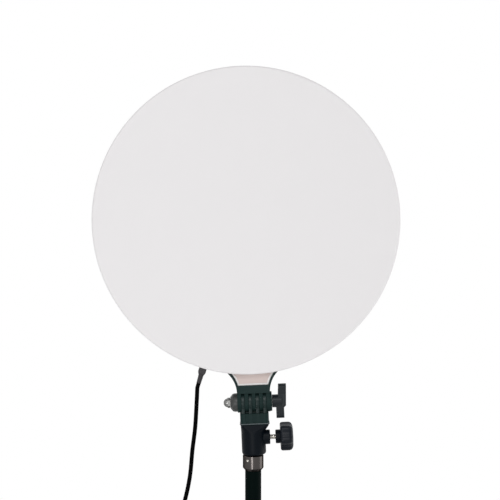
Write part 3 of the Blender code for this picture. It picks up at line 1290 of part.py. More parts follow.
def power_plug(finish, metal, root, centre, heading):
    """The flat two-pin plug, lying on the floor, its cable end at centre, along heading."""
    body_end = PLUG_RELIEF + PLUG_LONG
    sections = []
    for x, wide, thick in (
        (0, 2 * PLUG_RELIEF_R, 2 * PLUG_RELIEF_R),
        (PLUG_RELIEF - PLUG_STEP, 2.6 * PLUG_RELIEF_R, 2.6 * PLUG_RELIEF_R),
        (PLUG_RELIEF, PLUG_NOSE, PLUG_THICK - PLUG_STEP / 2),
        (PLUG_RELIEF + 4 * PLUG_STEP, PLUG_NOSE + PLUG_STEP / 2, PLUG_THICK),
        (body_end - PLUG_SQUARE, PLUG_WIDE, PLUG_THICK),
        (body_end, PLUG_WIDE, PLUG_THICK),
    ):
        corner = min(wide, thick) / 2 - FIT / 2
        ring = rounded_box(wide / 2, thick / 2, corner, steps=4)
        sections.append([(x, a, b) for a, b in ring])
    turn = (0, 0, heading)
    place = (centre[0], centre[1], PLUG_THICK / 2)
    plug = solid("power_plug", loft(sections), finish, root, place, turn)
    for index, side in ((1, -1), (2, 1)):
        tip = PLUG_PIN_R / 2
        profile = ((0, FIT), (PLUG_PIN_R, FIT), (PLUG_PIN_R, PLUG_PIN - tip))
        profile += ((PLUG_PIN_R - tip, PLUG_PIN), (0, PLUG_PIN))
        shape = turned_shape(profile, 12)
        bmesh.ops.transform(shape, matrix=along_x(), verts=shape.verts)
        bmesh.ops.translate(shape, vec=(body_end, side * PLUG_PIN_APART / 2, 0), verts=shape.verts)
        solid(f"plug_pin_{index}", shape, metal, root, place, turn)
    return plug


def cord_tie(finish, root):
    """The strap round the coil's bundle of turns."""
    half_wide = (COIL_OUTER_R - COIL_INNER_R) / 2 + CORD_R + TIE_SLACK + TIE_THICK
    half_high = COIL_LAYER / 2 + CORD_R + FIT + TIE_THICK
    outer = rounded_box(half_wide, half_high, TIE_ROUND)
    inner = rounded_box(half_wide - TIE_THICK, half_high - TIE_THICK, TIE_ROUND - TIE_THICK)
    mean = (COIL_OUTER_R + COIL_INNER_R) / 2
    place = (
        COIL_X + mean * math.cos(TIE_AZIMUTH),
        COIL_Y + mean * math.sin(TIE_AZIMUTH),
        half_high,
    )
    turn = (0, 0, TIE_AZIMUTH)
    strap = solid("cord_tie", prism(outer, "Y", -TIE_WIDE / 2, TIE_WIDE / 2), finish, root, place, turn)
    bore = prism(inner, "Y", -TIE_WIDE, TIE_WIDE)
    return cut(strap, solid("tie_bore_tool", bore, finish, root, place, turn))


def run_straight(start, direction, route, end, arrival):
    """A smooth cord that leaves start and reaches end in short straight runs."""
    first = start + direction * CORD_R * 2
    last = end - arrival * CORD_R * 2
    return [start] + smooth_route([first, *route, last], CORD_STEP) + [end]


def cord(finishes, root, head):
    """The lead from the strain relief to the floor, its coil and its plug."""
    bpy.context.view_layer.update()
    to_root = root.matrix_world.inverted() @ head.matrix_world
    out = (to_root @ gland_place()).to_3x3() @ Vector((0, 0, 1))
    exit_point = to_root @ gland_place() @ Vector((0, 0, SLEEVE_OUT + FIT))
    coil = coil_points()
    arriving = (coil[1] - coil[0]).normalized()
    leaving = coil[-1] - coil[-2]
    leaving = Vector((leaving.x, leaving.y, 0)).normalized()
    heading = math.atan2(leaving.y, leaving.x)
    coil_start = coil[0] - arriving * CORD_R * 2
    lead_end = coil_start - arriving * FIT
    route = [exit_point + out * CORD_STRAIGHT, *CORD_ROUTE, lead_end - arriving * FLOOR_RUN]
    lead = run_straight(exit_point, out, route, lead_end, arriving)
    tube_curve("cord_lead", lead, CORD_R, 2, finishes["cord_black"], root)
    to_plug = coil[-1] + leaving * TAIL_LONG
    to_plug.z = PLUG_THICK / 2
    mid = coil[-1].lerp(to_plug, 0.5)
    wound = [coil_start, *coil, mid, to_plug, to_plug + leaving * CORD_R * 2]
    tube_curve("cord_coil", wound, CORD_R, 1, finishes["cord_black"], root)
    power_plug(finishes["cord_black"], finishes["nickel"], root, wound[-1] + leaving * FIT, heading)
    cord_tie(finishes["cord_black"], root)
    print("coil least gap to itself, mm:", round(least_gap(coil) / MM, 2))
    lengths = [sum((q - p).length for p, q in zip(line, line[1:])) for line in (lead, wound)]
    print("cord lengths, m:", [round(n, 3) for n in lengths])


def centre_on_floor(root, feet):
    """Moves the root so that the middle of the stand's footprint is over the origin."""
    bpy.context.view_layer.update()
    graph = bpy.context.evaluated_depsgraph_get()
    corners = []
    for foot in feet:
        shown = foot.evaluated_get(graph)
        corners += [shown.matrix_world @ v.co for v in shown.to_mesh().vertices]
        shown.to_mesh_clear()
    for axis in (0, 1):
        values = [c[axis] for c in corners]
        root.location[axis] = -(min(values) + max(values)) / 2


def build_stand(finishes, root):
    black, plastic, rubber = finishes["stand_black"], finishes["knob_plastic"], finishes["rubber"]
    tube("column_tube", black, root, COLUMN_OD, COLUMN_LENGTH, COLUMN_TOP)
    strut_hub(plastic, root)
    clamp("lower_clamp", plastic, root, COLUMN_OD, MID_OD, LOWER_CLAMP_TOP)
    clamp_knob("lower_clamp_knob", plastic, root, COLUMN_OD, MID_OD, LOWER_CLAMP_TOP)

    floor = prism(box_outline(LEG_LENGTH * 2, LEG_LENGTH * 2), "Z", -FOOT_R * 4, 0)
    floor_tool = solid("floor_tool", floor, rubber, root)
    slider = empty("collar_axis", (0, 0, COLLAR_Z), root)
    leg_collar(plastic, slider)
    hub_x = COLLAR_OD / 2 + BOSS_OUT + CLAMP_KNOB_OFF
    knob, screw = screw_knob(
        "collar_knob", plastic, slider, (0, 0, 0), (0, 0, COLLAR_KNOB_AZIMUTH),
        hub_x, hub_x + CLAMP_HUB_LONG, COLUMN_OD / 2 + FIT, CLAMP_KNOB_R, CLAMP_KNOB_THICK,
    )
    fuse(knob, screw)
    feet = []
    for i, azimuth in enumerate(LEG_AZIMUTHS, 1):
        out = Vector((math.cos(azimuth), math.sin(azimuth), 0))
        pivot = empty(f"leg_axis_{i}", out * LEG_PIVOT_R, slider, (0, 0, azimuth))
        feet.append(leg(i, black, rubber, pivot, floor_tool)[1])
        pin(f"leg_pin_{i}", finishes["nickel"], pivot, LEG_END_THICK / 2 + 2 * FIT + EAR_THICK)
        place = out * STRUT_PIVOT_R + Vector((0, 0, HUB_Z))
        hinge = empty(f"strut_axis_{i}", place, root, (0, 0, azimuth))
        strut(i, black, hinge)
        pin(f"strut_pin_{i}", finishes["nickel"], hinge, LEG_OD / 2 + STRUT_GAP + STRUT_BAR + FIT)

    middle = empty("mid_axis", (0, 0, 0), root)
    tube("mid_tube", black, middle, MID_OD, MID_LENGTH, MID_TOP)
    clamp("upper_clamp", plastic, middle, MID_OD, TOP_OD, UPPER_CLAMP_TOP)
    clamp_knob("upper_clamp_knob", plastic, middle, MID_OD, TOP_OD, UPPER_CLAMP_TOP)
    top = empty("top_axis", (0, 0, 0), middle)
    tube("top_tube", black, top, TOP_OD, TOP_LENGTH, TOP_TOP)
    spigot(finishes["nickel"], top)
    return top, feet


def build_head(finishes, top):
    """The bracket and panel, leaning about the spigot's middle. Returns the panel's own frame."""
    plastic, knobs, metal = finishes["bracket_plastic"], finishes["knob_plastic"], finishes["nickel"]
    lean = empty("pan_axis", (0, 0, LEAN_POINT), top, (0, -LEAN, 0))
    bracket = empty("bracket_frame", (HEAD_SHIFT, 0, HINGE_ABOVE_LEAN), lean)
    socket_body(plastic, bracket)
    knob, screw = screw_knob(
        "socket_knob", knobs, bracket, (0, 0, -KNOB_DROP), (0, 0, 0), SOCKET_KNOB_HUB_X,
        SOCKET_KNOB_X, SPIGOT_R - HEAD_SHIFT + 2 * FIT, SOCKET_KNOB_R, SOCKET_KNOB_THICK,
    )
    screw.name = "socket_screw"
    hole = turned_shape(rod_profile(SCREW_R + FIT, 0, SOCKET_KNOB_X + FIT), SMALL_STEPS)
    bmesh.ops.transform(hole, matrix=along_x(), verts=hole.verts)
    cut(knob, solid("socket_knob_hole_tool", hole, knobs, bracket, (0, 0, -KNOB_DROP)))
    screw.data.materials[0] = metal

    head = empty("tilt_axis", (HINGE_SHIFT, 0, 0), bracket)
    yoke(plastic, head)
    cap_nut(metal, head)
    tilt_handle(plastic, metal, head)
    rear_shell(finishes["shell_white"], head)
    diffuser(finishes["opal"], head)
    light_engine(finishes, head)
    control_plate(knobs, head)
    dial("brightness_dial", knobs, head, -DIAL_X)
    dial("colour_dial", knobs, head, DIAL_X)
    rocker(knobs, head)
    for index, side in ((1, -1), (2, 1)):
        seat = RIM_BACK_Y + FIT + TONGUE_THICK
        machine_screw(f"yoke_screw_{index}", metal, head, side * TONGUE_SCREW_X, seat, TONGUE_SCREW_Z)
    strain_relief(knobs, head)
    return head


def finish_solids():
    """Turns each object's modifiers into its mesh, with sharp edges marked, and drops the tools."""
    bpy.context.view_layer.update()
    graph = bpy.context.evaluated_depsgraph_get()
    made = {
        obj: bpy.data.meshes.new_from_object(obj.evaluated_get(graph))
        for obj in bpy.context.scene.objects
        if obj.modifiers and not obj.hide_render
    }
    for obj, mesh in made.items():
        obj.modifiers.clear()
        obj.data = mesh
        mesh.shade_smooth()
        mesh.set_sharp_from_angle(angle=SMOOTH_ANGLE)
    for obj in [obj for obj in bpy.context.scene.objects if obj.hide_render]:
        bpy.data.objects.remove(obj, do_unlink=True)


def main():
    clear_scene()
    finishes = make_finishes()
    root = empty("stand_axis", (0, 0, 0))
    top, feet = build_stand(finishes, root)
    head = build_head(finishes, top)
    cord(finishes, root, head)
    centre_on_floor(root, feet)
    finish_solids()


main()
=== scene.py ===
"""LED soft light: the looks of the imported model, its camera and its light.

Stand pieces are built about the column's axis with Z from the floor, bracket and panel pieces about the
tilt hinge's axis.
"""

import json
from math import acos, asin, atan2, copysign, cos, pi, radians, sin, sqrt

import bmesh
import bpy
from mathutils import Matrix, Vector


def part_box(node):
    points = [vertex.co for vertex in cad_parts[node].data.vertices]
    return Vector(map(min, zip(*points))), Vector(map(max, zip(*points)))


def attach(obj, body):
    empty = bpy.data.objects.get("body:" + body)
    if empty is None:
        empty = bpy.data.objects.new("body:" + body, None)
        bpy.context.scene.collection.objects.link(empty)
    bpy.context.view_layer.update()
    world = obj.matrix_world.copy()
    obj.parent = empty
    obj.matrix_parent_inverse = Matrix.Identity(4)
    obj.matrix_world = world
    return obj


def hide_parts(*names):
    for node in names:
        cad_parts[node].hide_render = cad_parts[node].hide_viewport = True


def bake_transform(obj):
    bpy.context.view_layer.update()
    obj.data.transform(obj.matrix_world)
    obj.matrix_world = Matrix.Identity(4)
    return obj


MM = 0.001
FIT = 0.3 * MM
WELD = 0.002 * MM


def mm(*lengths):
    """Lengths in millimetres as metres."""
    return [length * MM for length in lengths]


def shift(x, y, z):
    return Matrix.Translation((x, y, z))


def turned(angle, axis):
    return Matrix.Rotation(angle, 4, axis)


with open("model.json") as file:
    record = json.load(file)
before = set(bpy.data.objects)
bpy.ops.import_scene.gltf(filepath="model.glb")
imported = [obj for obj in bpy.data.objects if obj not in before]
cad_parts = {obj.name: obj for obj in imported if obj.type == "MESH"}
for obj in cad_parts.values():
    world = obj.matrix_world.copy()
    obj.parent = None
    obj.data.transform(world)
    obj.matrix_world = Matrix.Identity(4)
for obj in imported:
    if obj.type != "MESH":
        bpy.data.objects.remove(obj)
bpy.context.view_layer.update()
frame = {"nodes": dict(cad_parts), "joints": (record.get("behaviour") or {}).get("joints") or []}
JOINTS = {joint["name"]: joint for joint in frame["joints"]}
TILT = JOINTS["tilt"]

# The turns that lay a +Z axis along +X, and towards the back
ALONG_X = turned(pi / 2, "Y")
BACKWARD = turned(-pi / 2, "X")

# Heights on the stand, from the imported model
COLUMN_LOW, COLUMN_TOP = (corner[2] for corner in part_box("column_tube"))
MID_LOW, MID_TOP = (corner[2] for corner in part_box("mid_tube"))
TOP_LOW, TOP_TOP = (corner[2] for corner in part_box("top_tube"))
LOWER_CLAMP_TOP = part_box("lower_clamp")[1][2]
UPPER_CLAMP_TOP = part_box("upper_clamp")[1][2]
SPIGOT_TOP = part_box("spigot")[1][2]

# Stand
COLUMN_OD, MID_OD, TOP_OD, TUBE_WALL = mm(25, 22, 19, 1.2)
CLAMP_WALL, CLAMP_GRIP, CLAMP_GUIDE, CLAMP_LIP = mm(4.6, 30, 22, 2)
BOSS_R, BOSS_OUT, SCREW_R = mm(8.5, 6.5, 3)
CLAMP_KNOB_R, CLAMP_KNOB_THICK, COLLAR_KNOB_X = mm(15, 12, 29)
SPIGOT_R, SPIGOT_HIGH, SPIGOT_TIP_R, SPIGOT_TIP = mm(8, 28, 3.1, 7)
GROOVE_R, GROOVE_HIGH, SPIGOT_COLLAR_R, SPIGOT_PLUG = mm(6.9, 10, 12.2, 30)
DIMPLE_R, DIMPLE_DROP = mm(1.3, 5.2)
DIMPLE_AZIMUTH = radians(-123)
LEG_OD, LEG_LENGTH, LEG_END_THICK, LEG_END_HIGH = mm(16, 430, 7, 18)
LEG_SPREAD = radians(58)
EAR_R, LEG_HOLE_R, FOOT_R, FOOT_SLEEVE, FOOT_WALL = mm(7, 2.3, 10.7, 26, 1.8)

# Bracket
HINGE_SHIFT, SOCKET_R, SOCKET_BOTTOM, SOCKET_EDGE, SOCKET_BOSS_X = mm(2.2, 14.2, 61.5, 3, 19.6)
SOCKET_BORE_R, SOCKET_BORE = mm(9.399, 37.5)
BASE_TOP, BASE_LOW, BASE_WIDE, BASE_DEEP = mm(12.3, 25.2, 35, 27)
LOW_LEAVES = 4
LEAF_R, HIGH_LEAF_R, LOW_LEAF, HIGH_LEAF, LEAF_PITCH = mm(12.8, 12, 3.96, 4.5, 4.25)
HINGE_HALF, VALLEY_HALF, BOLT_R, KNOB_DROP = mm(19.1, 6, 3, 42)
KNOB_LOBES = 6
SOCKET_KNOB_R, SOCKET_KNOB_THICK, SOCKET_KNOB_HUB_X, SOCKET_KNOB_X, KNOB_HUB_R = mm(16.8, 15, 26, 31.6, 8)
YOKE_DEEP, YOKE_TOP, YOKE_HALF, YOKE_ROOT, SADDLE_WALL = mm(24, 20.6, 19.3, 11.4, 2.4)
FLARE_START, FLARE_R, FLARE_TOP = mm(12, 33.5, 37)
FLARE_X = YOKE_HALF + FLARE_R
TONGUE_TOP, TONGUE_WIDE, TONGUE_THICK, TONGUE_ROUND = mm(78, 40, 3.7, 9)
TONGUE_SCREW_X, TONGUE_SCREW_Z, TONGUE_HOLE_R = mm(11, 60, 1.8)
NUT_BOSS_R, NUT_BOSS_MID_R, NUT_BOSS_END_R = mm(10.8, 10.2, 6.9)
NUT_BOSS_STEP, NUT_BOSS_CONE, NUT_BOSS_X = mm(3.2, 2.8, 27.5)
NUT_FLATS, NUT_HEX, NUT_LENGTH = mm(10.5, 3.5, 7.8)
PAD_R, PAD_OUT, HANDLE_STEM_R = mm(11.5, 2.2, 7.6)
HANDLE_X, HANDLE_THICK, HANDLE_LONG, HANDLE_WIDE = mm(28.4, 9.2, 40.3, 12)
HANDLE_STEP, HANDLE_NECK, HANDLE_FLARE = mm(2.4, 5, 1)

# Panel
PANEL_R = 180 * MM
PANEL_CENTRE = PANEL_R + 34 * MM
DISC_R = PANEL_R - 0.2 * MM
FRONT_Y, SKIRT_BACK_Y, NECK_FRONT_Y, RIM_BACK_Y = mm(-18, -9, -9, 8)
DIFFUSER_THICK, DIFFUSER_EDGE, SHELL_WALL, RIM_ROUND, BULGE_R = mm(2.2, 2.6, 2.4, 7, 96)
BULGE_Y = RIM_BACK_Y + 14 * MM
NECK_RIM, NECK_RECESS = mm(2, 0.8)
SHELL_RIM_R = PANEL_R - 0.4 * MM
SHELL_LIP_R = PANEL_R - DIFFUSER_THICK - FIT
THROUGH = 60 * MM
# Rows of vents: above or below the middle, how many, their length and their circle's radius
VENTS = ((1, 11, *mm(20, 74)), (-1, 7, *mm(16, 77)))
VENT_WIDE = 3 * MM
VENT_STEP = radians(7)
CONTROL_Z = PANEL_CENTRE - 45 * MM
CONTROL_WIDE, CONTROL_HIGH, CONTROL_THICK = mm(92, 36, 2)
DIAL_X, DIAL_R, DIAL_HIGH, DIAL_HOLE_R, ROCKER_WIDE, ROCKER_R = mm(31, 9.5, 13, 3.3, 12, 9.4)
CASE_SCREWS = 8
CASE_SCREW_CIRCLE, CASE_SCREW_SEAT_R = mm(160, 4.2)

# Strain relief and cord
GLAND_ANGLE = radians(18.7)
GLAND_Y, GLAND_OUT, SLEEVE_R, SLEEVE_END_R, SLEEVE_OUT = mm(-3.6, 9.5, 3.1, 2.7, 20)
CORD_R, CORD_IN_SLEEVE, CORD_STEP, FLOOR_RUN = mm(2.5, 2, 7.5, 24)
CORD_SIDES = 16
# Where the lead passes from one body to the next, as heights
CORD_CUTS = mm(790, 560, 330, 60)
CORD_ROUTE = (
    (-66.6, -3.6, 850), (-68.3, -3.6, 822), (-71.6, -3.5, 795), (-74.3, -3.3, 766), (-80, -2.6, 738),
    (-91, -1, 700), (-107, 2, 650), (-121, 6, 590), (-133, 11, 520), (-143, 16, 440), (-151, 21, 360),
    (-158, 27, 280), (-164, 33, 200), (-169, 40, 125), (-177, 49, 62), (-191, 60, 20),
)
COIL_X, COIL_Y, COIL_INNER_R, COIL_PITCH, COIL_LAYER = mm(-236, 112, 22, 6.4, 5.7)
COIL_TURNS, COIL_CLIMB, LOOP_STEPS = 2, 0.5, 48
COIL_START, TIE_AZIMUTH = radians(-100), radians(200)
COIL_OUTER_R = COIL_INNER_R + COIL_TURNS * COIL_PITCH
TIE_THICK, TIE_SLACK, TIE_WIDE = mm(0.7, 1, 10)
COIL_LOW_Z = CORD_R + TIE_THICK + FIT
TAIL_LONG, PLUG_LONG, PLUG_WIDE, PLUG_NOSE, PLUG_THICK = mm(24, 38, 35, 15, 13.6)
PLUG_STEP, PLUG_SQUARE, PLUG_RELIEF, PLUG_RELIEF_R = mm(3.4, 12, 22, 3.6)

# Camera, from the photograph
IMAGE, LENS_PIXELS, SENSOR = 500, 990, 36
EYE_FROM_DISC = Vector((4.6, -1150, -34.8)) * MM

# The frames that pieces are built in
across = Vector(TILT["axis"]).normalized()
upright = across.cross(Vector((0, 1, 0)))
STAND = shift(0, JOINTS["pan"]["pos_m"][1], 0)
HEAD = Matrix.Translation(TILT["pos_m"]) @ Matrix((across, (0, 1, 0), upright)).transposed().to_4x4()
SOCKET = HEAD @ shift(-HINGE_SHIFT, 0, 0)
SOCKET_KNOB = SOCKET @ shift(0, 0, -KNOB_DROP)
# The strain relief's own frame in the head, +Z outwards from the rim
GLAND = shift(0, GLAND_Y, PANEL_CENTRE) @ turned(pi + GLAND_ANGLE, "Y") @ shift(0, 0, SHELL_RIM_R)


# Camera and light


def placed(name, data):
    """An object for a mesh, lamp or camera, in the scene."""
    made = bpy.data.objects.new(name, data)
    bpy.context.scene.collection.objects.link(made)
    return made


def camera():
    data = bpy.data.cameras.new("camera")
    data.sensor_width = SENSOR
    data.lens = LENS_PIXELS / IMAGE * SENSOR
    data.clip_start = 0.01
    eye = placed("camera", data)
    eye.location = HEAD @ Vector((0, FRONT_Y, PANEL_CENTRE)) + EYE_FROM_DISC
    eye.rotation_euler = (pi / 2, 0, 0)
    bpy.context.scene.camera = eye


def lamp(name, place, aim, size, power, glossy=True):
    data = bpy.data.lights.new(name, "AREA")
    data.shape = "RECTANGLE"
    data.size, data.size_y = size
    data.energy = power
    made = placed(name, data)
    made.location = place
    made.rotation_euler = (Vector(aim) - Vector(place)).to_track_quat("-Z", "Y").to_euler()
    made.visible_camera = False
    made.visible_glossy = glossy


def add(tree, kind, inputs, **settings):
    """A node of a kind with its settings, each input set to a value or linked to an output."""
    made = tree.nodes.new("ShaderNode" + kind)
    for name, value in settings.items():
        setattr(made, name, value)
    return feed(tree, made, inputs)


def feed(tree, node, inputs):
    for name, value in inputs.items():
        if isinstance(value, bpy.types.NodeSocket):
            tree.links.new(value, node.inputs[name])
        else:
            node.inputs[name].default_value = value
    return node


def lights():
    """A white room that lights evenly, a high key, a low strip in front, and lamps at a side and behind."""
    world = bpy.data.worlds.new("studio")
    bpy.context.scene.world = world
    world.use_nodes = True
    tree = world.node_tree
    path = add(tree, "LightPath", {})
    shown = path.outputs["Is Camera Ray"]
    for ray in ("Is Transmission Ray", "Is Glossy Ray"):
        shown = add(tree, "Math", {0: shown, 1: path.outputs[ray]}, operation="MAXIMUM").outputs[0]
    level = add(tree, "MapRange", {"To Min": 0.415, "To Max": 1.0, "Value": shown})
    feed(tree, tree.nodes["Background"], {"Color": (1, 1, 1, 1), "Strength": level.outputs["Result"]})
    hinge = HEAD.translation
    lamp("key", (-0.2, -2.4, 2.4), hinge, (0.7, 1.1), 22)
    lamp("strip", (-0.53, -2.5, 0.5), (0, -0.1, 0.78), (0.3, 0.9), 14.5)
    lamp("side", (2.0, 0.3, 0.9), (0, -0.1, 0.9), (1.4, 1.5), 15.5)
    lamp("back", (0.6, 2.4, 2.3), hinge, (1.5, 1.5), 38, glossy=False)
    lamp("rim", (-1.8, 1.7, 1.9), hinge, (0.5, 1.8), 8, glossy=False)


def floor():
    shape = bmesh.new()
    bmesh.ops.create_circle(shape, cap_ends=True, segments=96, radius=2.2)
    made = placed("studio_floor", meshed(shape, "studio_floor"))
    made.data.materials.append(surface("floor_white", (0.93, 0.93, 0.93), 0.6, grain=30, mottle=0.01))


# Materials


def surface(
    name, colour, roughness, metallic=0.0, grain=900.0, stretch=(1, 1, 1), mottle=0.08,
    spread=0.06, bump=0.0, specular=0.5, wear=None, rim=1.0,
):
    """A material whose grain varies its colour, roughness and height, with lighter worn edges."""
    made = bpy.data.materials.new(name)
    made.use_nodes = True
    tree = made.node_tree
    place = add(tree, "TexCoord", {}).outputs["Object"]
    scaled = add(tree, "Mapping", {"Scale": stretch, "Vector": place}).outputs["Vector"]
    fine = add(tree, "TexNoise", {"Scale": grain, "Detail": 5, "Vector": scaled}).outputs["Fac"]
    broad = add(tree, "TexNoise", {"Scale": 22, "Detail": 3, "Vector": place}).outputs["Fac"]
    both = add(tree, "Math", {0: fine, 1: broad}, operation="ADD").outputs[0]
    half = add(tree, "Math", {0: both, 1: 0.5}, operation="MULTIPLY").outputs[0]
    ramp = add(tree, "ValToRGB", {"Fac": half})
    low, high = ramp.color_ramp.elements
    low.position, high.position = 0.3, 0.7
    low.color = (*[c * (1 - mottle) for c in colour], 1)
    high.color = (*[min(1, c * (1 + mottle)) for c in colour], 1)
    base = ramp.outputs["Color"]
    if wear:
        edges = add(tree, "NewGeometry", {}).outputs["Pointiness"]
        share = add(
            tree, "MapRange", {"From Min": 0.52, "From Max": 0.62, "To Max": wear[1], "Value": edges}
        ).outputs["Result"]
        mixed = add(tree, "Mix", {}, data_type="RGBA")
        base = feed(tree, mixed, {"B": (*wear[0], 1), "Factor": share, "A": base}).outputs["Result"]
    span = {"From Min": 0.3, "From Max": 0.7, "To Min": roughness - spread, "To Max": roughness + spread}
    gloss = add(tree, "MapRange", {**span, "Value": half}).outputs["Result"]
    shader = feed(tree, tree.nodes["Principled BSDF"], {
        "Metallic": metallic, "Specular IOR Level": specular, "Specular Tint": (rim, rim, rim, 1),
        "Base Color": base, "Roughness": gloss,
    })
    if bump:
        relief = add(tree, "Bump", {"Distance": bump, "Strength": 0.6, "Height": fine})
        feed(tree, shader, {"Normal": relief.outputs["Normal"]})
    return made


def nylon(name, colour, roughness, specular, wear=None, **changes):
    """Moulded nylon: a fine grain and a slight mottle."""
    grained = {"grain": 3200, "mottle": 0.15, "bump": 0.00003, **changes}
    return surface(name + "_nylon", colour, roughness, specular=specular, wear=wear, **grained)


def abs_shell(name, colour, roughness):
    return surface(
        name, colour, roughness, grain=2800, mottle=0.02, spread=0.05, bump=0.00003, specular=0.3
    )


SURFACES = {
    "stand_black": surface(
        "satin_black_tube", (0.0012, 0.0038, 0.0034), 0.6, grain=2600, stretch=(1, 1, 0.02),
        mottle=0.25, spread=0.08, bump=0.00002, specular=0.02,
    ),
    "leg": surface(
        "satin_black_leg", (0.0012, 0.0038, 0.0034), 0.55, grain=1400, mottle=0.3, spread=0.1,
        bump=0.00002, specular=0.04, wear=((0.04, 0.04, 0.04), 0.3),
    ),
    "yoke": nylon("yoke", (0.0085, 0.0215, 0.0205), 0.5, 0.08, ((0.05, 0.065, 0.065), 0.12)),
    "bracket": nylon(
        "bracket", (0.006, 0.0165, 0.016), 0.34, 0.17, ((0.05, 0.065, 0.065), 0.12), spread=0.05
    ),
    # A paler grey for the seam bead's upward faces: a painted highlight along the seam.
    "seam": nylon("seam_painted_highlight", (0.13, 0.145, 0.155), 0.42, 0.2, grain=2200, mottle=0.3),
    "boss": nylon("boss", (0.04, 0.043, 0.042), 0.36, 0.25),
    "socket": nylon("socket", (0.0012, 0.003, 0.0055), 0.45, 0.08, ((0.03, 0.035, 0.04), 0.1)),
    "handle": nylon("handle", (0.009, 0.0125, 0.0155), 0.36, 0.16, ((0.06, 0.07, 0.07), 0.2), grain=2600),
    "knob": nylon("knob", (0.0025, 0.0045, 0.0085), 0.34, 0.13, ((0.05, 0.055, 0.06), 0.3), grain=2600),
    "gland": nylon("gland", (0.04, 0.037, 0.04), 0.4, 0.15, ((0.1, 0.1, 0.1), 0.3), grain=2600),
    "dark_nickel": surface(
        "dark_nickel", (0.07, 0.064, 0.061), 0.22, 1.0, grain=1200, stretch=(0.05, 0.05, 6),
        mottle=0.18, spread=0.05, rim=0.15,
    ),
    "nut": surface("nut_plating", (0.25, 0.25, 0.245), 0.16, 1.0, grain=1500, spread=0.05, rim=0.2),
    "chrome": surface(
        "bright_plating", (0.72, 0.7, 0.66), 0.16, 1.0, grain=1500, mottle=0.05, spread=0.05
    ),
    "shell": abs_shell("shell_abs", (0.8, 0.785, 0.775), 0.42),
    # A darker, pinker copy of the shell's ABS for the neck's recessed face: painted shade in the recess.
    "neck": abs_shell("neck_face_painted_shade", (0.62, 0.52, 0.49), 0.45),
    "opal": surface(
        "opal_acrylic", (0.79, 0.775, 0.782), 0.5, grain=3500, mottle=0.006, spread=0.03,
        bump=0.00001, specular=0.12,
    ),
    "rubber": surface(
        "foot_rubber", (0.01, 0.01, 0.01), 0.8, grain=1800, mottle=0.25, bump=0.0001,
        specular=0.15, wear=((0.05, 0.05, 0.048), 0.5),
    ),
    "board": surface("white_parts", (0.8, 0.8, 0.78), 0.45, grain=1200, mottle=0.03, specular=0.3),
    "cord": surface(
        "cord_pvc", (0.0016, 0.0016, 0.0017), 0.62, grain=1600, mottle=0.25, spread=0.08,
        bump=0.00003, specular=0.012,
    ),
    "strap": surface(
        "strap_weave", (0.012, 0.012, 0.013), 0.85, grain=2200, mottle=0.5, bump=0.0003, specular=0.1
    ),
    "mark": surface("white_ink", (0.72, 0.72, 0.7), 0.6, grain=1500, mottle=0.05, specular=0.2),
}


# Mesh helpers


def meshed(shape, name="working"):
    """A mesh of a bmesh, wound outwards. The bmesh is used up."""
    bmesh.ops.recalc_face_normals(shape, faces=shape.faces)
    mesh = bpy.data.meshes.new(name)
    shape.to_mesh(mesh)
    shape.free()
    return mesh


def soften(made, width, angle):
    """Small rounded edges where faces meet at more than the angle."""
    bevel = made.modifiers.new("edges", "BEVEL")
    bevel.width = width
    bevel.segments = 2
    bevel.limit_method = "ANGLE"
    bevel.angle_limit = radians(angle)
    return bevel


def piece(name, shape, finish, body, *nodes, at=None, edge=0.0, angle=32, others=()):
    """A mesh object from a bmesh, placed by at, that rides on a body and stands for CAD nodes.

    others are more finishes, each with a test that picks the faces it goes on.
    """
    shape.normal_update()
    for index, (_, test) in enumerate(others, 1):
        for face in shape.faces:
            if test(face.calc_center_median(), face.normal):
                face.material_index = index
    if at is not None:
        moved(shape, at)
    bmesh.ops.remove_doubles(shape, verts=shape.verts, dist=WELD)
    mesh = meshed(shape, name)
    mesh.shade_smooth()
    mesh.set_sharp_from_angle(angle=radians(angle))
    made = placed(name, mesh)
    for key in (finish, *(other for other, _ in others)):
        mesh.materials.append(SURFACES[key])
    if edge:
        soften(made, edge, angle).harden_normals = True
    made.modifiers.new("normals", "WEIGHTED_NORMAL").keep_sharp = True
    if body:
        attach(made, body)
    if nodes:
        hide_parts(*nodes)
    return made


def combined(shape, tool, operation):
    """What a boolean makes of two bmeshes. Both are used up."""
    pair = []
    for part in (shape, tool):
        bmesh.ops.remove_doubles(part, verts=part.verts, dist=WELD)
        pair.append(placed("working", meshed(part)))
    step = pair[0].modifiers.new("step", "BOOLEAN")
    step.operation = operation
    step.solver = "EXACT"
    step.object = pair[1]
    bpy.context.view_layer.update()
    result = bpy.data.meshes.new_from_object(
        pair[0].evaluated_get(bpy.context.evaluated_depsgraph_get())
    )
    made = bmesh.new()
    made.from_mesh(result)
    bpy.data.meshes.remove(result)
    for held in pair:
        mesh = held.data
        bpy.data.objects.remove(held, do_unlink=True)
        bpy.data.meshes.remove(mesh)
    return made


def carve(shape, *tools):
    """A bmesh with others taken from it, one after the other. All are used up."""
    for tool in tools:
        shape = combined(shape, tool, "DIFFERENCE")
    return shape


def weld(shape, *parts):
    """A bmesh with others joined to it, one after the other. All are used up."""
    for part in parts:
        shape = combined(shape, part, "UNION")
    return shape


def moved(shape, matrix):
    bmesh.ops.transform(shape, matrix=matrix, verts=shape.verts)
    return shape


def gathered(shapes):
    """Several separate bmeshes as one. They are used up."""
    whole = bmesh.new()
    for part in shapes:
        mesh = meshed(part)
        whole.from_mesh(mesh)
        bpy.data.meshes.remove(mesh)
    return whole


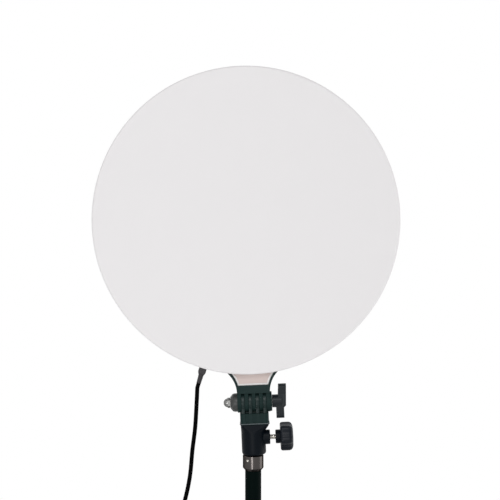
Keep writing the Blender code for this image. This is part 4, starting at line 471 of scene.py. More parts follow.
def spun(profile, steps=64, closed=False):
    """A bmesh spun round Z from (radius, height) points."""
    shape = bmesh.new()
    points = [shape.verts.new((r, 0, h)) for r, h in profile]
    edges = [shape.edges.new(pair) for pair in zip(points, points[1:])]
    if closed:
        edges.append(shape.edges.new((points[-1], points[0])))
    bmesh.ops.spin(shape, geom=points + edges, cent=(0, 0, 0), axis=(0, 0, 1), angle=2 * pi, steps=steps)
    bmesh.ops.remove_doubles(shape, verts=shape.verts, dist=WELD)
    bmesh.ops.dissolve_degenerate(shape, edges=shape.edges, dist=WELD)
    return shape


def rod(radius, low, high, edge=0.0, steps=48):
    """A rod along Z, its two rims rounded by edge."""
    edge = min(edge, radius / 2, (high - low) / 3)
    rims = [(radius - edge + edge * sin(t), low + edge - edge * cos(t)) for t in quarter(edge)]
    rims += [(radius - edge + edge * cos(t), high - edge + edge * sin(t)) for t in quarter(edge)]
    return spun([(0, low), *rims, (0, high)], steps)


def rod_x(radius, low, high, edge=0.0, steps=48):
    return moved(rod(radius, low, high, edge, steps), ALONG_X)


def quarter(edge, steps=3):
    """Angles of a quarter turn, or only its start where there is no rounding."""
    return [i * pi / 2 / steps for i in range(steps + 1)] if edge else [0]


def circle(count):
    return [2 * pi * i / count for i in range(count)]


def prism(outline, axis, low, high):
    """An outline extruded along an axis, its two numbers along the other two, in X, Y, Z order."""
    place = {
        "X": lambda a, b, d: (d, a, b),
        "Y": lambda a, b, d: (a, d, b),
        "Z": lambda a, b, d: (a, b, d),
    }[axis]
    shape = bmesh.new()
    face = shape.faces.new([shape.verts.new(place(a, b, low)) for a, b in outline])
    grown = bmesh.ops.extrude_face_region(shape, geom=[face])
    tops = [v for v in grown["geom"] if isinstance(v, bmesh.types.BMVert)]
    bmesh.ops.translate(shape, vec=Vector(place(0, 0, high - low)), verts=tops)
    return shape


def loft(sections):
    """A closed skin over rings of points, one after the other."""
    shape = bmesh.new()
    rings = [[shape.verts.new(p) for p in section] for section in sections]
    for low, high in zip(rings, rings[1:]):
        for i in range(len(low)):
            j = (i + 1) % len(low)
            shape.faces.new((low[i], low[j], high[j], high[i]))
    shape.faces.new(rings[0])
    shape.faces.new(rings[-1])
    return shape


def arc(centre, radius, start, end, steps):
    angles = [start + (end - start) * i / steps for i in range(steps + 1)]
    return [(centre[0] + radius * cos(t), centre[1] + radius * sin(t)) for t in angles]


def rounded_box(half_a, half_b, radius, steps=8):
    points = []
    for i, (sa, sb) in enumerate(((1, 1), (-1, 1), (-1, -1), (1, -1))):
        centre = (sa * (half_a - radius), sb * (half_b - radius))
        points += arc(centre, radius, i * pi / 2, (i + 1) * pi / 2, steps)
    return points


def stadium(half_wide, half_long, centre=(0, 0), steps=8):
    """A slot's outline with round ends, long in its second number."""
    reach = half_long - half_wide
    upper = arc((centre[0], centre[1] + reach), half_wide, 0, pi, steps)
    return upper + arc((centre[0], centre[1] - reach), half_wide, pi, 2 * pi, steps)


def thread(low, high, depth, steps):
    """A clamp screw's threaded rod along X: each point's radius follows its place in the pitch."""
    pitch = 1 * MM
    rows = max(2, round((high - low) / pitch * 6))
    sections = []
    for row in range(rows + 1):
        z = low + (high - low) * row / rows
        section = []
        for i, turn in enumerate(circle(steps)):
            phase = (z / pitch - i / steps) % 1
            r = SCREW_R - depth * abs(2 * phase - 1)
            section.append((r * cos(turn), r * sin(turn), z))
        sections.append(section)
    return moved(loft(sections), ALONG_X)


def lobed(radius, thick, start, steps_each=16):
    """A lobed knob's body along X, with rounded rims and a dished face."""
    shape_of = (
        (0.0, 0.88), (0.03, 0.94), (0.1, 0.99), (0.2, 1.0), (0.66, 1.0), (0.8, 0.975),
        (0.91, 0.89), (0.98, 0.76), (1.0, 0.66), (0.985, 0.56), (0.93, 0.5), (0.93, 0.2),
    )
    sections = []
    for along, share in shape_of:
        ring = []
        for turn in circle(KNOB_LOBES * steps_each):
            wave = max(cos(KNOB_LOBES * turn), -0.55)
            r = share * radius * (1 - 0.085 * (1 - wave) * min(1, share * 1.2))
            place = turn + radians(11)
            ring.append((start + along * thick, r * cos(place), r * sin(place)))
        sections.append(ring)
    return loft(sections)


# Cord


def smooth_route(points):
    """Points about CORD_STEP apart on a smooth curve through the given points."""
    ends = [2 * points[0] - points[1]] + list(points) + [2 * points[-1] - points[-2]]
    fine = []
    for a, b, c, d in zip(ends, ends[1:], ends[2:], ends[3:]):
        for i in range(24):
            t = i / 24
            bend = (2 * a - 5 * b + 4 * c - d) * t**2 + (3 * b - a - 3 * c + d) * t**3
            fine.append(b + 0.5 * ((c - a) * t + bend))
    fine.append(points[-1].copy())
    total = length_of(fine)
    count = max(2, round(total / CORD_STEP))
    spaced, walked, target = [fine[0]], 0.0, total / count
    for p, q in zip(fine, fine[1:]):
        length = (q - p).length
        while length and walked + length >= target and len(spaced) < count:
            spaced.append(p.lerp(q, (target - walked) / length))
            target += total / count
        walked += length
    return spaced + [fine[-1]]


def length_of(line):
    return sum((q - p).length for p, q in zip(line, line[1:]))


def coil_points():
    """The coil's centreline: in along the floor, a climb, then out again on top."""
    centre = Vector((COIL_X, COIL_Y, 0))
    turns = 2 * COIL_TURNS + COIL_CLIMB
    count = round(turns * LOOP_STEPS)
    points = []
    for i in range(count + 1):
        t = turns * i / count
        if t < COIL_TURNS:
            radius, z = COIL_OUTER_R - COIL_PITCH * t, COIL_LOW_Z
        elif t < COIL_TURNS + COIL_CLIMB:
            share = (t - COIL_TURNS) / COIL_CLIMB
            radius, z = COIL_INNER_R, COIL_LOW_Z + COIL_LAYER * share * share * (3 - 2 * share)
        else:
            radius = COIL_INNER_R + COIL_PITCH * (t - COIL_TURNS - COIL_CLIMB)
            z = COIL_LOW_Z + COIL_LAYER
        turn = COIL_START - 2 * pi * t
        points.append(centre + Vector((radius * cos(turn), radius * sin(turn), z)))
    return points


def cord_mesh(points):
    """A closed tube round a line of points, its rings turned as little as they can be."""
    side = None
    rings = []
    for i, p in enumerate(points):
        along = (points[min(i + 1, len(points) - 1)] - points[max(i - 1, 0)]).normalized()
        side = along.orthogonal().normalized() if side is None else side
        side = (side - along * side.dot(along)).normalized()
        up = along.cross(side)
        rings.append([p + CORD_R * (cos(t) * side + sin(t) * up) for t in circle(CORD_SIDES)])
    return loft(rings)


def cord_line():
    """The cord's centreline in the world: the lead, the coil and the plug's end and heading."""
    gland = HEAD @ GLAND
    out = gland.to_3x3() @ Vector((0, 0, 1))
    exit_point = gland @ Vector((0, 0, SLEEVE_OUT + FIT))
    chosen = [STAND @ (Vector(p) * MM) for p in CORD_ROUTE]
    coil = [STAND @ p for p in coil_points()]
    arriving = (coil[1] - coil[0]).normalized()
    leaving = coil[-1] - coil[-2]
    leaving = Vector((leaving.x, leaving.y, 0)).normalized()
    coil_start = coil[0] - arriving * CORD_R * 2
    start, last = exit_point + out * CORD_R * 2, coil_start - arriving * CORD_R * 2
    route = [start, *chosen, coil_start - arriving * FLOOR_RUN, last]
    to_plug = coil[-1] + leaving * TAIL_LONG
    to_plug.z = PLUG_THICK / 2
    tail = smooth_route([coil[-1], coil[-1].lerp(to_plug, 0.5), to_plug])
    end = to_plug + leaving * CORD_R * 2
    lead = [exit_point - out * CORD_IN_SLEEVE] + smooth_route(route)
    return lead, [*coil, *tail[1:], end], end + leaving * FIT, atan2(leaving.y, leaving.x)


def power_plug(place, heading):
    """The flat two-pin plug with its ribbed relief, lying beside the coil."""
    body_end = PLUG_RELIEF + PLUG_LONG
    outline = []
    ridges = 18
    for i in range(ridges):
        x = PLUG_RELIEF * 0.85 * i / (ridges - 1)
        half = PLUG_RELIEF_R * (1 + 0.3 * x / PLUG_RELIEF) * (1 if i % 2 else 0.86)
        outline.append((x, 2 * half, 2 * half, 0.999))
    outline += [
        (PLUG_RELIEF, PLUG_NOSE, PLUG_THICK * 0.88, 0.9),
        (PLUG_RELIEF + 1 * MM, PLUG_NOSE + 1 * MM, PLUG_THICK * 0.94, 0.9),
        (PLUG_RELIEF + 3 * PLUG_STEP, PLUG_NOSE + 1.5 * MM, PLUG_THICK * 0.99, 0.85),
        (PLUG_RELIEF + 4.5 * PLUG_STEP, PLUG_NOSE + 5 * MM, PLUG_THICK, 0.8),
        (body_end - PLUG_SQUARE * 1.3, PLUG_WIDE - 3 * MM, PLUG_THICK, 0.72),
        (body_end - PLUG_SQUARE, PLUG_WIDE - 0.6 * MM, PLUG_THICK, 0.7),
        (body_end - 1 * MM, PLUG_WIDE, PLUG_THICK, 0.7),
        (body_end, PLUG_WIDE - 1 * MM, PLUG_THICK - 1 * MM, 0.7),
    ]
    sections = []
    for x, wide, thick, roundness in outline:
        corner = min(wide, thick) / 2 * roundness
        sections.append([(x, a, b) for a, b in rounded_box(wide / 2, thick / 2, corner, steps=6)])
    at = shift(place.x, place.y, PLUG_THICK / 2) @ turned(heading, "Z")
    return piece("plug_body", loft(sections), "cord", "stand", "power_plug", at=at)


def tie_strap():
    """The hook-and-loop strap round the coil."""
    half_wide = (COIL_OUTER_R - COIL_INNER_R) / 2 + CORD_R + TIE_SLACK + TIE_THICK
    half_high = COIL_LAYER / 2 + CORD_R + FIT + TIE_THICK
    inner = rounded_box(half_wide - TIE_THICK, half_high - TIE_THICK, 2.3 * MM, 6)
    band = prism(rounded_box(half_wide, half_high, 3 * MM, 6), "Y", -TIE_WIDE / 2, TIE_WIDE / 2)
    band = carve(band, prism(inner, "Y", -TIE_WIDE, TIE_WIDE))
    at = STAND @ shift(COIL_X, COIL_Y, 0) @ turned(TIE_AZIMUTH, "Z")
    at = at @ shift((COIL_OUTER_R + COIL_INNER_R) / 2, 0, half_high)
    return piece("tie_band", band, "strap", "stand", "cord_tie", at=at, edge=0.15 * MM)


def cords():
    rest, wound, plug_place, heading = cord_line()
    on_it = [power_plug(plug_place, heading), tie_strap()]
    on_it += [frame["nodes"]["plug_pin_1"], frame["nodes"]["plug_pin_2"]]
    for index, cut_z in enumerate(CORD_CUTS, 1):
        stop = next(i for i, p in enumerate(rest) if p.z < cut_z)
        line, rest = rest[: stop + 1], rest[stop:]
        made = piece(f"lead_{index}", cord_mesh(line), "cord", None, "cord_lead")
        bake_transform(made)
    line = rest + wound
    made = piece("lead_coil", cord_mesh(line), "cord", "stand", "cord_lead", "cord_coil")


# Panel


def flare_outline(radius, low, high, steps=28):
    """The saddle's outline between two heights: straight, then flaring by an arc at each side."""
    right = []
    for i in range(steps + 1):
        z = low + (high - low) * i / steps
        rise = max(z, FLARE_START) - FLARE_START
        right.append((FLARE_X - sqrt(radius**2 - rise**2), z))
    return right + [(-x, z) for x, z in reversed(right)]


def diffuser():
    thick, edge = DIFFUSER_THICK, DIFFUSER_EDGE
    profile = [(0, FRONT_Y), (DISC_R - 20 * MM, FRONT_Y)]
    profile += [(DISC_R - edge + edge * sin(t), FRONT_Y + edge * (1 - cos(t))) for t in quarter(edge, 6)]
    profile += [(DISC_R, SKIRT_BACK_Y), (DISC_R - thick, SKIRT_BACK_Y)]
    profile += [(DISC_R - thick, FRONT_Y + thick), (0, FRONT_Y + thick)]
    at = HEAD @ shift(0, 0, PANEL_CENTRE) @ BACKWARD
    piece("opal_front", spun(profile, 192), "opal", "head", "diffuser", at=at)


def rocker_window(z):
    outline = rounded_box(ROCKER_WIDE / 2 + FIT, ROCKER_R + FIT, 0.6 * MM, 3)
    return prism([(a, b + z) for a, b in outline], "Y", 0, THROUGH)


def dial_hole(side, z):
    return moved(rod(DIAL_HOLE_R, 0, THROUGH, steps=20), shift(side * DIAL_X, 0, z) @ BACKWARD)


def tongue_screw_place(side):
    return shift(side * TONGUE_SCREW_X, 0, TONGUE_SCREW_Z) @ BACKWARD


def case_screw_place(index):
    turn = 2 * pi * (index + 0.5) / CASE_SCREWS
    centre = (CASE_SCREW_CIRCLE * sin(turn), 0, PANEL_CENTRE + CASE_SCREW_CIRCLE * cos(turn))
    return shift(*centre) @ BACKWARD


def shell_holes():
    """Cutters for the vents, the controls, the screws and the strain relief."""
    holes = []
    for side, count, long, radius in VENTS:
        for i in range(count):
            swing = turned(side * (i - (count - 1) / 2) * VENT_STEP, "Y")
            slot = prism(stadium(VENT_WIDE / 2, long / 2, (0, side * radius)), "Y", 0, THROUGH)
            holes.append(moved(slot, shift(0, 0, PANEL_CENTRE) @ swing))
    holes.append(rocker_window(CONTROL_Z))
    for side in (-1, 1):
        holes.append(dial_hole(side, CONTROL_Z))
        holes.append(moved(rod(TONGUE_HOLE_R, 0, THROUGH, steps=16), tongue_screw_place(side)))
    for i in range(CASE_SCREWS):
        seat = rod(CASE_SCREW_SEAT_R, RIM_BACK_Y - 1.6 * MM, THROUGH, steps=28)
        holes.append(moved(seat, case_screw_place(i)))
    holes.append(moved(rod(3.6 * MM, -20 * MM, THROUGH, steps=24), GLAND))
    return gathered(holes)


def rear_shell():
    wall, lip, rim, bulge = SHELL_WALL, SHELL_LIP_R, SHELL_RIM_R, BULGE_R
    step_y = SKIRT_BACK_Y + FIT
    lip_y = FRONT_Y + DIFFUSER_THICK + FIT
    outside = [(0, BULGE_Y), (bulge - 5 * MM, BULGE_Y)]
    outside += arc((bulge - 5 * MM, BULGE_Y - 5 * MM), 5 * MM, radians(80), radians(20), 5)
    outside += [(bulge + 2.6 * MM, RIM_BACK_Y + 1.6 * MM), (bulge + 4 * MM, RIM_BACK_Y)]
    outside += [(rim - 26 * MM, RIM_BACK_Y), (rim - 25.4 * MM, RIM_BACK_Y - 0.7 * MM)]
    outside += [(rim - 24.4 * MM, RIM_BACK_Y - 0.7 * MM), (rim - 23.8 * MM, RIM_BACK_Y)]
    outside += arc((rim - RIM_ROUND, RIM_BACK_Y - RIM_ROUND), RIM_ROUND, pi / 2, 0, 8)
    outside += [(rim, step_y), (lip, step_y), (lip, lip_y)]
    inside = [(lip - wall, lip_y), (lip - wall, RIM_BACK_Y - RIM_ROUND)]
    inside += [(lip - RIM_ROUND, RIM_BACK_Y - wall), (bulge, RIM_BACK_Y - wall)]
    inside += [(bulge - 2 * wall, BULGE_Y - wall), (0, BULGE_Y - wall)]
    lay_down = shift(0, 0, PANEL_CENTRE) @ BACKWARD
    shell = moved(spun(outside + inside, 144), lay_down)
    neck_low = YOKE_TOP + FIT
    neck_high = PANEL_CENTRE - sqrt(lip**2 - (34 * MM) ** 2) + 0.9 * MM
    neck_r = FLARE_R + SADDLE_WALL + FIT
    neck = prism(flare_outline(neck_r, neck_low, neck_high), "Y", NECK_FRONT_Y, RIM_BACK_Y)
    recess = flare_outline(neck_r + NECK_RIM, neck_low + NECK_RIM, neck_high - 3 * MM)
    recess = prism(recess, "Y", 2 * NECK_FRONT_Y, NECK_FRONT_Y + NECK_RECESS)
    inner = moved(rod(lip - wall - 0.01 * MM, -THROUGH, THROUGH, steps=144), lay_down)
    shell = carve(weld(shell, carve(neck, recess, inner)), shell_holes())

    # The neck's recessed front face gets the darker copy of the shell's ABS: painted shade.
    def on_neck_face(middle, normal):
        return abs(middle.y - NECK_FRONT_Y - NECK_RECESS) < 0.1 * MM and middle.z < neck_high

    piece(
        "back_shell", shell, "shell", "head", "rear_shell", at=HEAD, edge=0.3 * MM,
        others=(("neck", on_neck_face),),
    )


def cross_head(radius, seat, high, shank):
    """A pan-head screw with a cross recess, along +Z, its head's underside at seat."""
    profile = [(0, seat - shank), (radius * 0.45, seat - shank), (radius * 0.45, seat), (radius, seat)]
    profile += [(radius, seat + high * 0.4), (radius * 0.82, seat + high * 0.85)]
    head = spun(profile + [(radius * 0.5, seat + high), (0, seat + high)], 28)
    for turn in (0, pi / 2):
        bar = rounded_box(radius * 0.5, radius * 0.11, radius * 0.1, 2)
        bar = prism(bar, "Z", seat + high * 0.35, seat + 2 * high)
        head = carve(head, moved(bar, turned(turn + radians(20), "Z")))
    return head


def screws():
    heads = []
    for i in range(CASE_SCREWS):
        head = cross_head(3.1 * MM, RIM_BACK_Y - 1.5 * MM, 1.4 * MM, 2 * MM)
        heads.append(moved(head, case_screw_place(i) @ turned(i * 1.1, "Z")))
    piece("case_screws", gathered(heads), "chrome", "head", at=HEAD)
    for index, side in ((1, -1), (2, 1)):
        seat = RIM_BACK_Y + FIT + TONGUE_THICK
        head = cross_head(3.4 * MM, seat + FIT, 1.8 * MM, 5 * MM)
        at = HEAD @ tongue_screw_place(side) @ turned(index, "Z")
        piece(f"tongue_screw_{index}", head, "chrome", "head", f"yoke_screw_{index}", at=at)


def controls():
    face = BULGE_Y + FIT
    outline = rounded_box(CONTROL_WIDE / 2, CONTROL_HIGH / 2, 6 * MM)
    plate = prism(outline, "Y", face, face + CONTROL_THICK)
    inset = rounded_box(CONTROL_WIDE / 2 - 2 * MM, CONTROL_HIGH / 2 - 2 * MM, 4.4 * MM)
    inset = prism(inset, "Y", face + CONTROL_THICK - 0.35 * MM, face + THROUGH)
    plate = carve(plate, gathered([rocker_window(0), dial_hole(-1, 0), dial_hole(1, 0)]), inset)
    at = HEAD @ shift(0, 0, CONTROL_Z)
    piece("control_fascia", plate, "knob", "head", "control_plate", at=at, edge=0.2 * MM)
    ticks = []
    level = face + CONTROL_THICK - 0.4 * MM
    for side in (-1, 1):
        for i in range(11):
            long = 1.5 * MM if i % 5 else 2.4 * MM
            bar = prism(rounded_box(0.22 * MM, long / 2, 0.2 * MM, 2), "Y", level, level + 0.12 * MM)
            spin = turned(radians(-140 + 28 * i), "Y") @ shift(0, 0, DIAL_R + 1.2 * MM + long / 2)
            ticks.append(moved(bar, shift(side * DIAL_X, 0, 0) @ spin))
    piece("dial_ticks", gathered(ticks), "mark", "head", at=at)
    top = face + CONTROL_THICK + FIT + DIAL_HIGH
    for name, side in (("brightness", -1), ("colour", 1)):
        at, body = HEAD @ shift(side * DIAL_X, 0, CONTROL_Z), f"{name}_control"
        piece(f"{name}_knob", dial(), "knob", body, f"{name}_dial", at=at, edge=0.15 * MM)
        line = stadium(0.5 * MM, DIAL_R / 3 - 0.2 * MM, (0, DIAL_R / 2), 4)
        line = prism(line, "Y", top - 0.75 * MM, top - 0.55 * MM)
        piece(f"{name}_pointer", line, "mark", body, at=at)


def dial():
    """A fluted dial with a shaft, a rounded top and a pointer groove."""
    base = BULGE_Y + FIT + CONTROL_THICK + FIT
    flutes = 24
    sections = []
    for along, share, deep in (
        (0, 0.98, 0), (0.05, 1, 0), (0.1, 0.995, 0), (0.13, 0.985, 1), (0.75, 0.93, 1),
        (0.84, 0.91, 0.5), (0.92, 0.87, 0), (0.98, 0.81, 0), (1, 0.74, 0),
    ):
        ring = []
        for turn in circle(flutes * 6):
            r = DIAL_R * share * (1 - 0.045 * deep * max(0, cos(flutes * turn)))
            ring.append((r * cos(turn), base + along * DIAL_HIGH, r * sin(turn)))
        sections.append(ring)
    body = weld(loft(sections), moved(rod(3 * MM, base - 12 * MM, base + 2 * MM, steps=20), BACKWARD))
    groove = stadium(0.7 * MM, DIAL_R / 3, (0, DIAL_R / 2), 5)
    return carve(body, prism(groove, "Y", base + DIAL_HIGH - 0.6 * MM, base + 2 * DIAL_HIGH))


def rocker():
    """The power rocker, its face hollowed from both ends to the middle."""
    out, up = ROCKER_R * sin(radians(24)), ROCKER_R * cos(radians(24))
    outline = [(out, up), (2.6 * MM, up * 0.45), (2 * MM, 0), (2.6 * MM, -up * 0.45), (out, -up)]
    outline += [(-4 * MM, -6 * MM), (-4 * MM, 6 * MM)]
    shape = prism(outline, "X", -ROCKER_WIDE / 2, ROCKER_WIDE / 2)
    pivot_y = BULGE_Y + FIT + CONTROL_THICK - 1.2 * MM
    at = HEAD @ shift(0, pivot_y, CONTROL_Z) @ turned(radians(8), "X")
    piece("rocker_cap", shape, "knob", "power_switch", "power_rocker", at=at, edge=0.5 * MM)


def strain_relief():
    """A waist in the rim's hole, a squared block outside, and the ribbed sleeve on the cord."""
    block = loft([
        [(x, y, z * MM) for x, y in rounded_box(half * MM, half * MM, 1.1 * MM, 5)]
        for half, z in ((4.1, 0.3), (4.5, 0.7), (4.5, 5.9), (3.5, 8.7), (3.1, 9.3), (2.6, 9.5))
    ])
    ribs = [(0, GLAND_OUT - 2 * MM), (SLEEVE_R, GLAND_OUT - 2 * MM)]
    count = 7
    pitch = (SLEEVE_OUT - GLAND_OUT) / count
    for i in range(count):
        z = GLAND_OUT + pitch * i
        r = SLEEVE_R + (SLEEVE_END_R - SLEEVE_R) * i / count
        ribs += [(r, z + 0.05 * pitch), (r, z + 0.6 * pitch)]
        ribs += [(r - 0.35 * MM, z + 0.68 * pitch), (r - 0.35 * MM, z + 0.97 * pitch)]
    ribs += [(SLEEVE_END_R, SLEEVE_OUT - 0.05 * MM), (SLEEVE_END_R - 0.1 * MM, SLEEVE_OUT), (0, SLEEVE_OUT)]
    body = weld(block, rod(3.3 * MM, -4.2 * MM, 1 * MM, steps=32), spun(ribs, 32))
    dimple = moved(rod(0.8 * MM, 4.1 * MM, 6 * MM, steps=16), turned(pi / 2, "X"))
    body = carve(body, moved(dimple, shift(0.6 * MM, 0, 4.2 * MM)))
    piece("cord_gland", body, "gland", "head", "strain_relief", at=HEAD @ GLAND, edge=0.2 * MM)


# Bracket


def leaf(radius, end_z):
    """A hinge leaf's side: a disc on a neck that passes the other half's ridge."""
    neck = sqrt((radius + FIT) ** 2 - VALLEY_HALF**2) - 2 * FIT
    middle = copysign(pi / 2, -end_z)
    half_turn = pi / 2 + acos(neck / radius)
    points = arc((0, 0), radius, middle - half_turn, middle + half_turn, 44)
    return points + [(points[-1][0], end_z), (points[0][0], end_z)]


def valley(radius, end_z):
    """A ridge's side, hollowed to clear the other half's leaves of this radius."""
    middle = copysign(pi / 2, end_z)
    half_turn = asin(VALLEY_HALF / (radius + FIT))
    points = arc((0, 0), radius + FIT, middle - half_turn, middle + half_turn, 16)
    return points + [(points[-1][0], end_z), (points[0][0], end_z)]


def between(first, second, share):
    """The outline that lies a share of the way from the first to the second."""
    pairs = zip(first, second)
    return [((1 - share) * a + share * c, (1 - share) * b + share * d) for (a, b), (c, d) in pairs]


def leaves(count, wide, radius, end_z, round_edge):
    """A row of hinge leaves with rounded rims, apart by twice the pitch."""
    outline = leaf(radius, end_z)
    small = 1 - round_edge / radius
    inner = [(a * small, b * small) for a, b in outline[:-2]]
    inner += [(inner[-1][0], end_z), (inner[0][0], end_z)]
    sides = [
        (along * round_edge - wide / 2, between(outline, inner, share))
        for along, share in ((0, 1), (0.3, 0.3), (1, 0))
    ]
    sides += [(-along, side) for along, side in reversed(sides)]
    row = []
    for i in range(count):
        x = (i - (count - 1) / 2) * 2 * LEAF_PITCH
        row.append(loft([[(x + along, a, b) for a, b in side] for along, side in sides]))
    return gathered(row)


def socket_body():
    """The hinge's lower half, built about the socket's axis, which stands beside the hinge's middle."""
    count = 64
    half_wide, half_deep, corner = BASE_WIDE / 2, BASE_DEEP / 2, 5 * MM

    def flange(inset):
        outline = rounded_box(half_wide - inset, half_deep - inset, corner - inset, count // 4 - 1)
        return [(x + HINGE_SHIFT, y) for x, y in outline]

    sections = []
    for inset, z in (
        (0.7, BASE_LOW - BASE_TOP), (0.7, 1.5 * MM), (0.45, 1.15 * MM), (0, 0.75 * MM),
        (0, 0.2 * MM), (0.5, -0.2 * MM), (0.9, -0.4 * MM),
    ):
        sections.append([(x, y, z - BASE_LOW) for x, y in flange(inset * MM)])
    ledge = flange(0.9 * MM)
    ring = arc((0, 0), SOCKET_R, 0, 2 * pi, count)[:-1]
    for share, z in ((0.2, 28), (0.5, 30.2), (0.78, 32.2), (0.93, 34.2), (1, 36)):
        sections.append([(x, y, -z * MM) for x, y in between(ledge, ring, share)])
    for step in range(7):
        turn = step * pi / 12
        r = 1 - SOCKET_EDGE * (1 - cos(turn)) / SOCKET_R
        z = SOCKET_EDGE * (1 - sin(turn)) - SOCKET_BOTTOM
        sections.append([(x * r, y * r, z) for x, y in ring])
    to_hinge = shift(HINGE_SHIFT, 0, 0)
    ridge = prism(valley(HIGH_LEAF_R, -BASE_TOP - 2 * MM), "X", 1 * MM - half_wide, half_wide - 1 * MM)
    row = leaves(LOW_LEAVES, LOW_LEAF, LEAF_R, -BASE_TOP - 2 * MM, 0.6 * MM)
    body = weld(loft(sections), moved(ridge, to_hinge), moved(row, to_hinge))
    for x in (-2 * LEAF_PITCH, 0, 2 * LEAF_PITCH):
        slot = stadium(HIGH_LEAF / 2, 6.6 * MM, (x, -16.6 * MM))
        for near in (-14 * MM, half_deep - 1.4 * MM):
            body = carve(body, moved(prism(slot, "Y", near, near + 1.9 * MM), to_hinge))
    screw_axis = shift(0, 0, -KNOB_DROP) @ ALONG_X
    boss = rod(BOSS_R, SOCKET_BORE_R + 1 * MM, SOCKET_BOSS_X, 1 * MM)
    bore = rod(SOCKET_BORE_R, -SOCKET_BOTTOM - 3 * MM, -SOCKET_BOTTOM + SOCKET_BORE)
    screw = rod(SCREW_R + FIT, 0, 30 * MM, steps=24)
    bolt = rod_x(BOLT_R + FIT, -HINGE_HALF, 2 * HINGE_HALF, steps=24)
    body = carve(weld(body, moved(boss, screw_axis)), bore, moved(screw, screw_axis), bolt)

    # The bead's upward faces get the paler seam finish, a painted highlight along the seam.
    def on_bead(middle, normal):
        return -BASE_LOW < middle.z < 1.45 * MM - BASE_LOW and normal.z > 0.2

    piece(
        "hinge_socket", body, "bracket", "socket", "socket_body", at=SOCKET, edge=0.3 * MM,
        others=(
            ("yoke", lambda middle, normal: middle.z < -BASE_TOP),
            ("socket", lambda middle, normal: middle.z < -BASE_LOW),
            ("seam", on_bead),
        ),
    )


def yoke():
    """The hinge's upper half: the leaves, the flared saddle, the nut's boss, the pad and the tongue."""
    inner = HINGE_HALF - HIGH_LEAF / 2
    behind = RIM_BACK_Y + FIT
    body = flare_outline(FLARE_R, YOKE_ROOT, FLARE_TOP)
    body = prism(body, "Y", -YOKE_DEEP / 2 + 0.5 * MM, YOKE_DEEP / 2)
    body = carve(body, rod_x(LEAF_R + FIT, -inner, inner, steps=96))
    row = leaves(LOW_LEAVES + 1, HIGH_LEAF, HIGH_LEAF_R, YOKE_ROOT + 4.2 * MM, 0.4 * MM)
    boss = [(0, inner), (NUT_BOSS_R, inner), (NUT_BOSS_R, HINGE_HALF + NUT_BOSS_STEP)]
    boss += [(NUT_BOSS_MID_R, NUT_BOSS_X - NUT_BOSS_CONE), (NUT_BOSS_END_R, NUT_BOSS_X), (0, NUT_BOSS_X)]
    boss = moved(spun(boss, 48), turned(-pi / 2, "Y"))
    pad = rod_x(PAD_R, inner, HINGE_HALF + PAD_OUT, 0.6 * MM)
    half = TONGUE_WIDE / 2
    tongue = [(half, YOKE_TOP + 2 * MM)]
    tongue += arc((half - TONGUE_ROUND, TONGUE_TOP - TONGUE_ROUND), TONGUE_ROUND, 0, pi / 2, 12)
    tongue += [(-x, z) for x, z in reversed(tongue)]
    body = weld(body, row, boss, pad, prism(tongue, "Y", behind, behind + TONGUE_THICK))
    pocket = flare_outline(FLARE_R + SADDLE_WALL, YOKE_TOP, FLARE_TOP + 6 * MM)
    pocket = prism(pocket, "Y", -YOKE_DEEP, behind)
    panel = rod(PANEL_R + 2 * FIT, FRONT_Y, behind, steps=144)
    panel = moved(panel, shift(0, 0, PANEL_CENTRE) @ BACKWARD)
    holes = [rod_x(BOLT_R + FIT, -2 * HINGE_HALF, 2 * HINGE_HALF, steps=24)]
    for side in (-1, 1):
        hole = rod(TONGUE_HOLE_R, -YOKE_DEEP, YOKE_DEEP, steps=20)
        holes.append(moved(hole, tongue_screw_place(side)))
    body = carve(body, pocket, panel, gathered(holes))

    def on_boss(middle, normal):
        return middle.x < -HINGE_HALF - 0.1 * MM and middle.z < 12 * MM

    piece(
        "hinge_yoke", body, "yoke", "head", "yoke", at=HEAD, edge=0.35 * MM,
        others=(("boss", on_boss),),
    )


def cap_nut():
    flat_r = NUT_FLATS / 2 / cos(pi / 6)
    start = NUT_BOSS_X + FIT
    hexagon = prism(arc((0, 0), flat_r, 0, 2 * pi, 6)[:-1], "Z", start, start + NUT_HEX)
    cone = [(0, start - 1 * MM), (flat_r * 1.2, start - 1 * MM), (flat_r * 1.2, start + 1.6 * MM)]
    cone += [(flat_r * 0.86, start + NUT_HEX + 0.1 * MM), (0, start + NUT_HEX + 0.1 * MM)]
    dome_r = NUT_FLATS / 2 - FIT
    rise = NUT_LENGTH - NUT_HEX
    dome = [(0, start + FIT), (dome_r, start + FIT)]
    dome += [(dome_r * cos(t), start + NUT_HEX + rise * sin(t)) for t in quarter(1, 12)[:-1]]
    dome.append((0, start + NUT_LENGTH))
    body = weld(combined(hexagon, spun(cone, 48), "INTERSECT"), spun(dome, 48))
    body = carve(body, rod(BOLT_R + FIT, 0, start + NUT_HEX, steps=24))
    piece("acorn_nut", body, "nut", "head", "cap_nut", at=HEAD @ turned(-pi / 2, "Y"), edge=0.15 * MM)


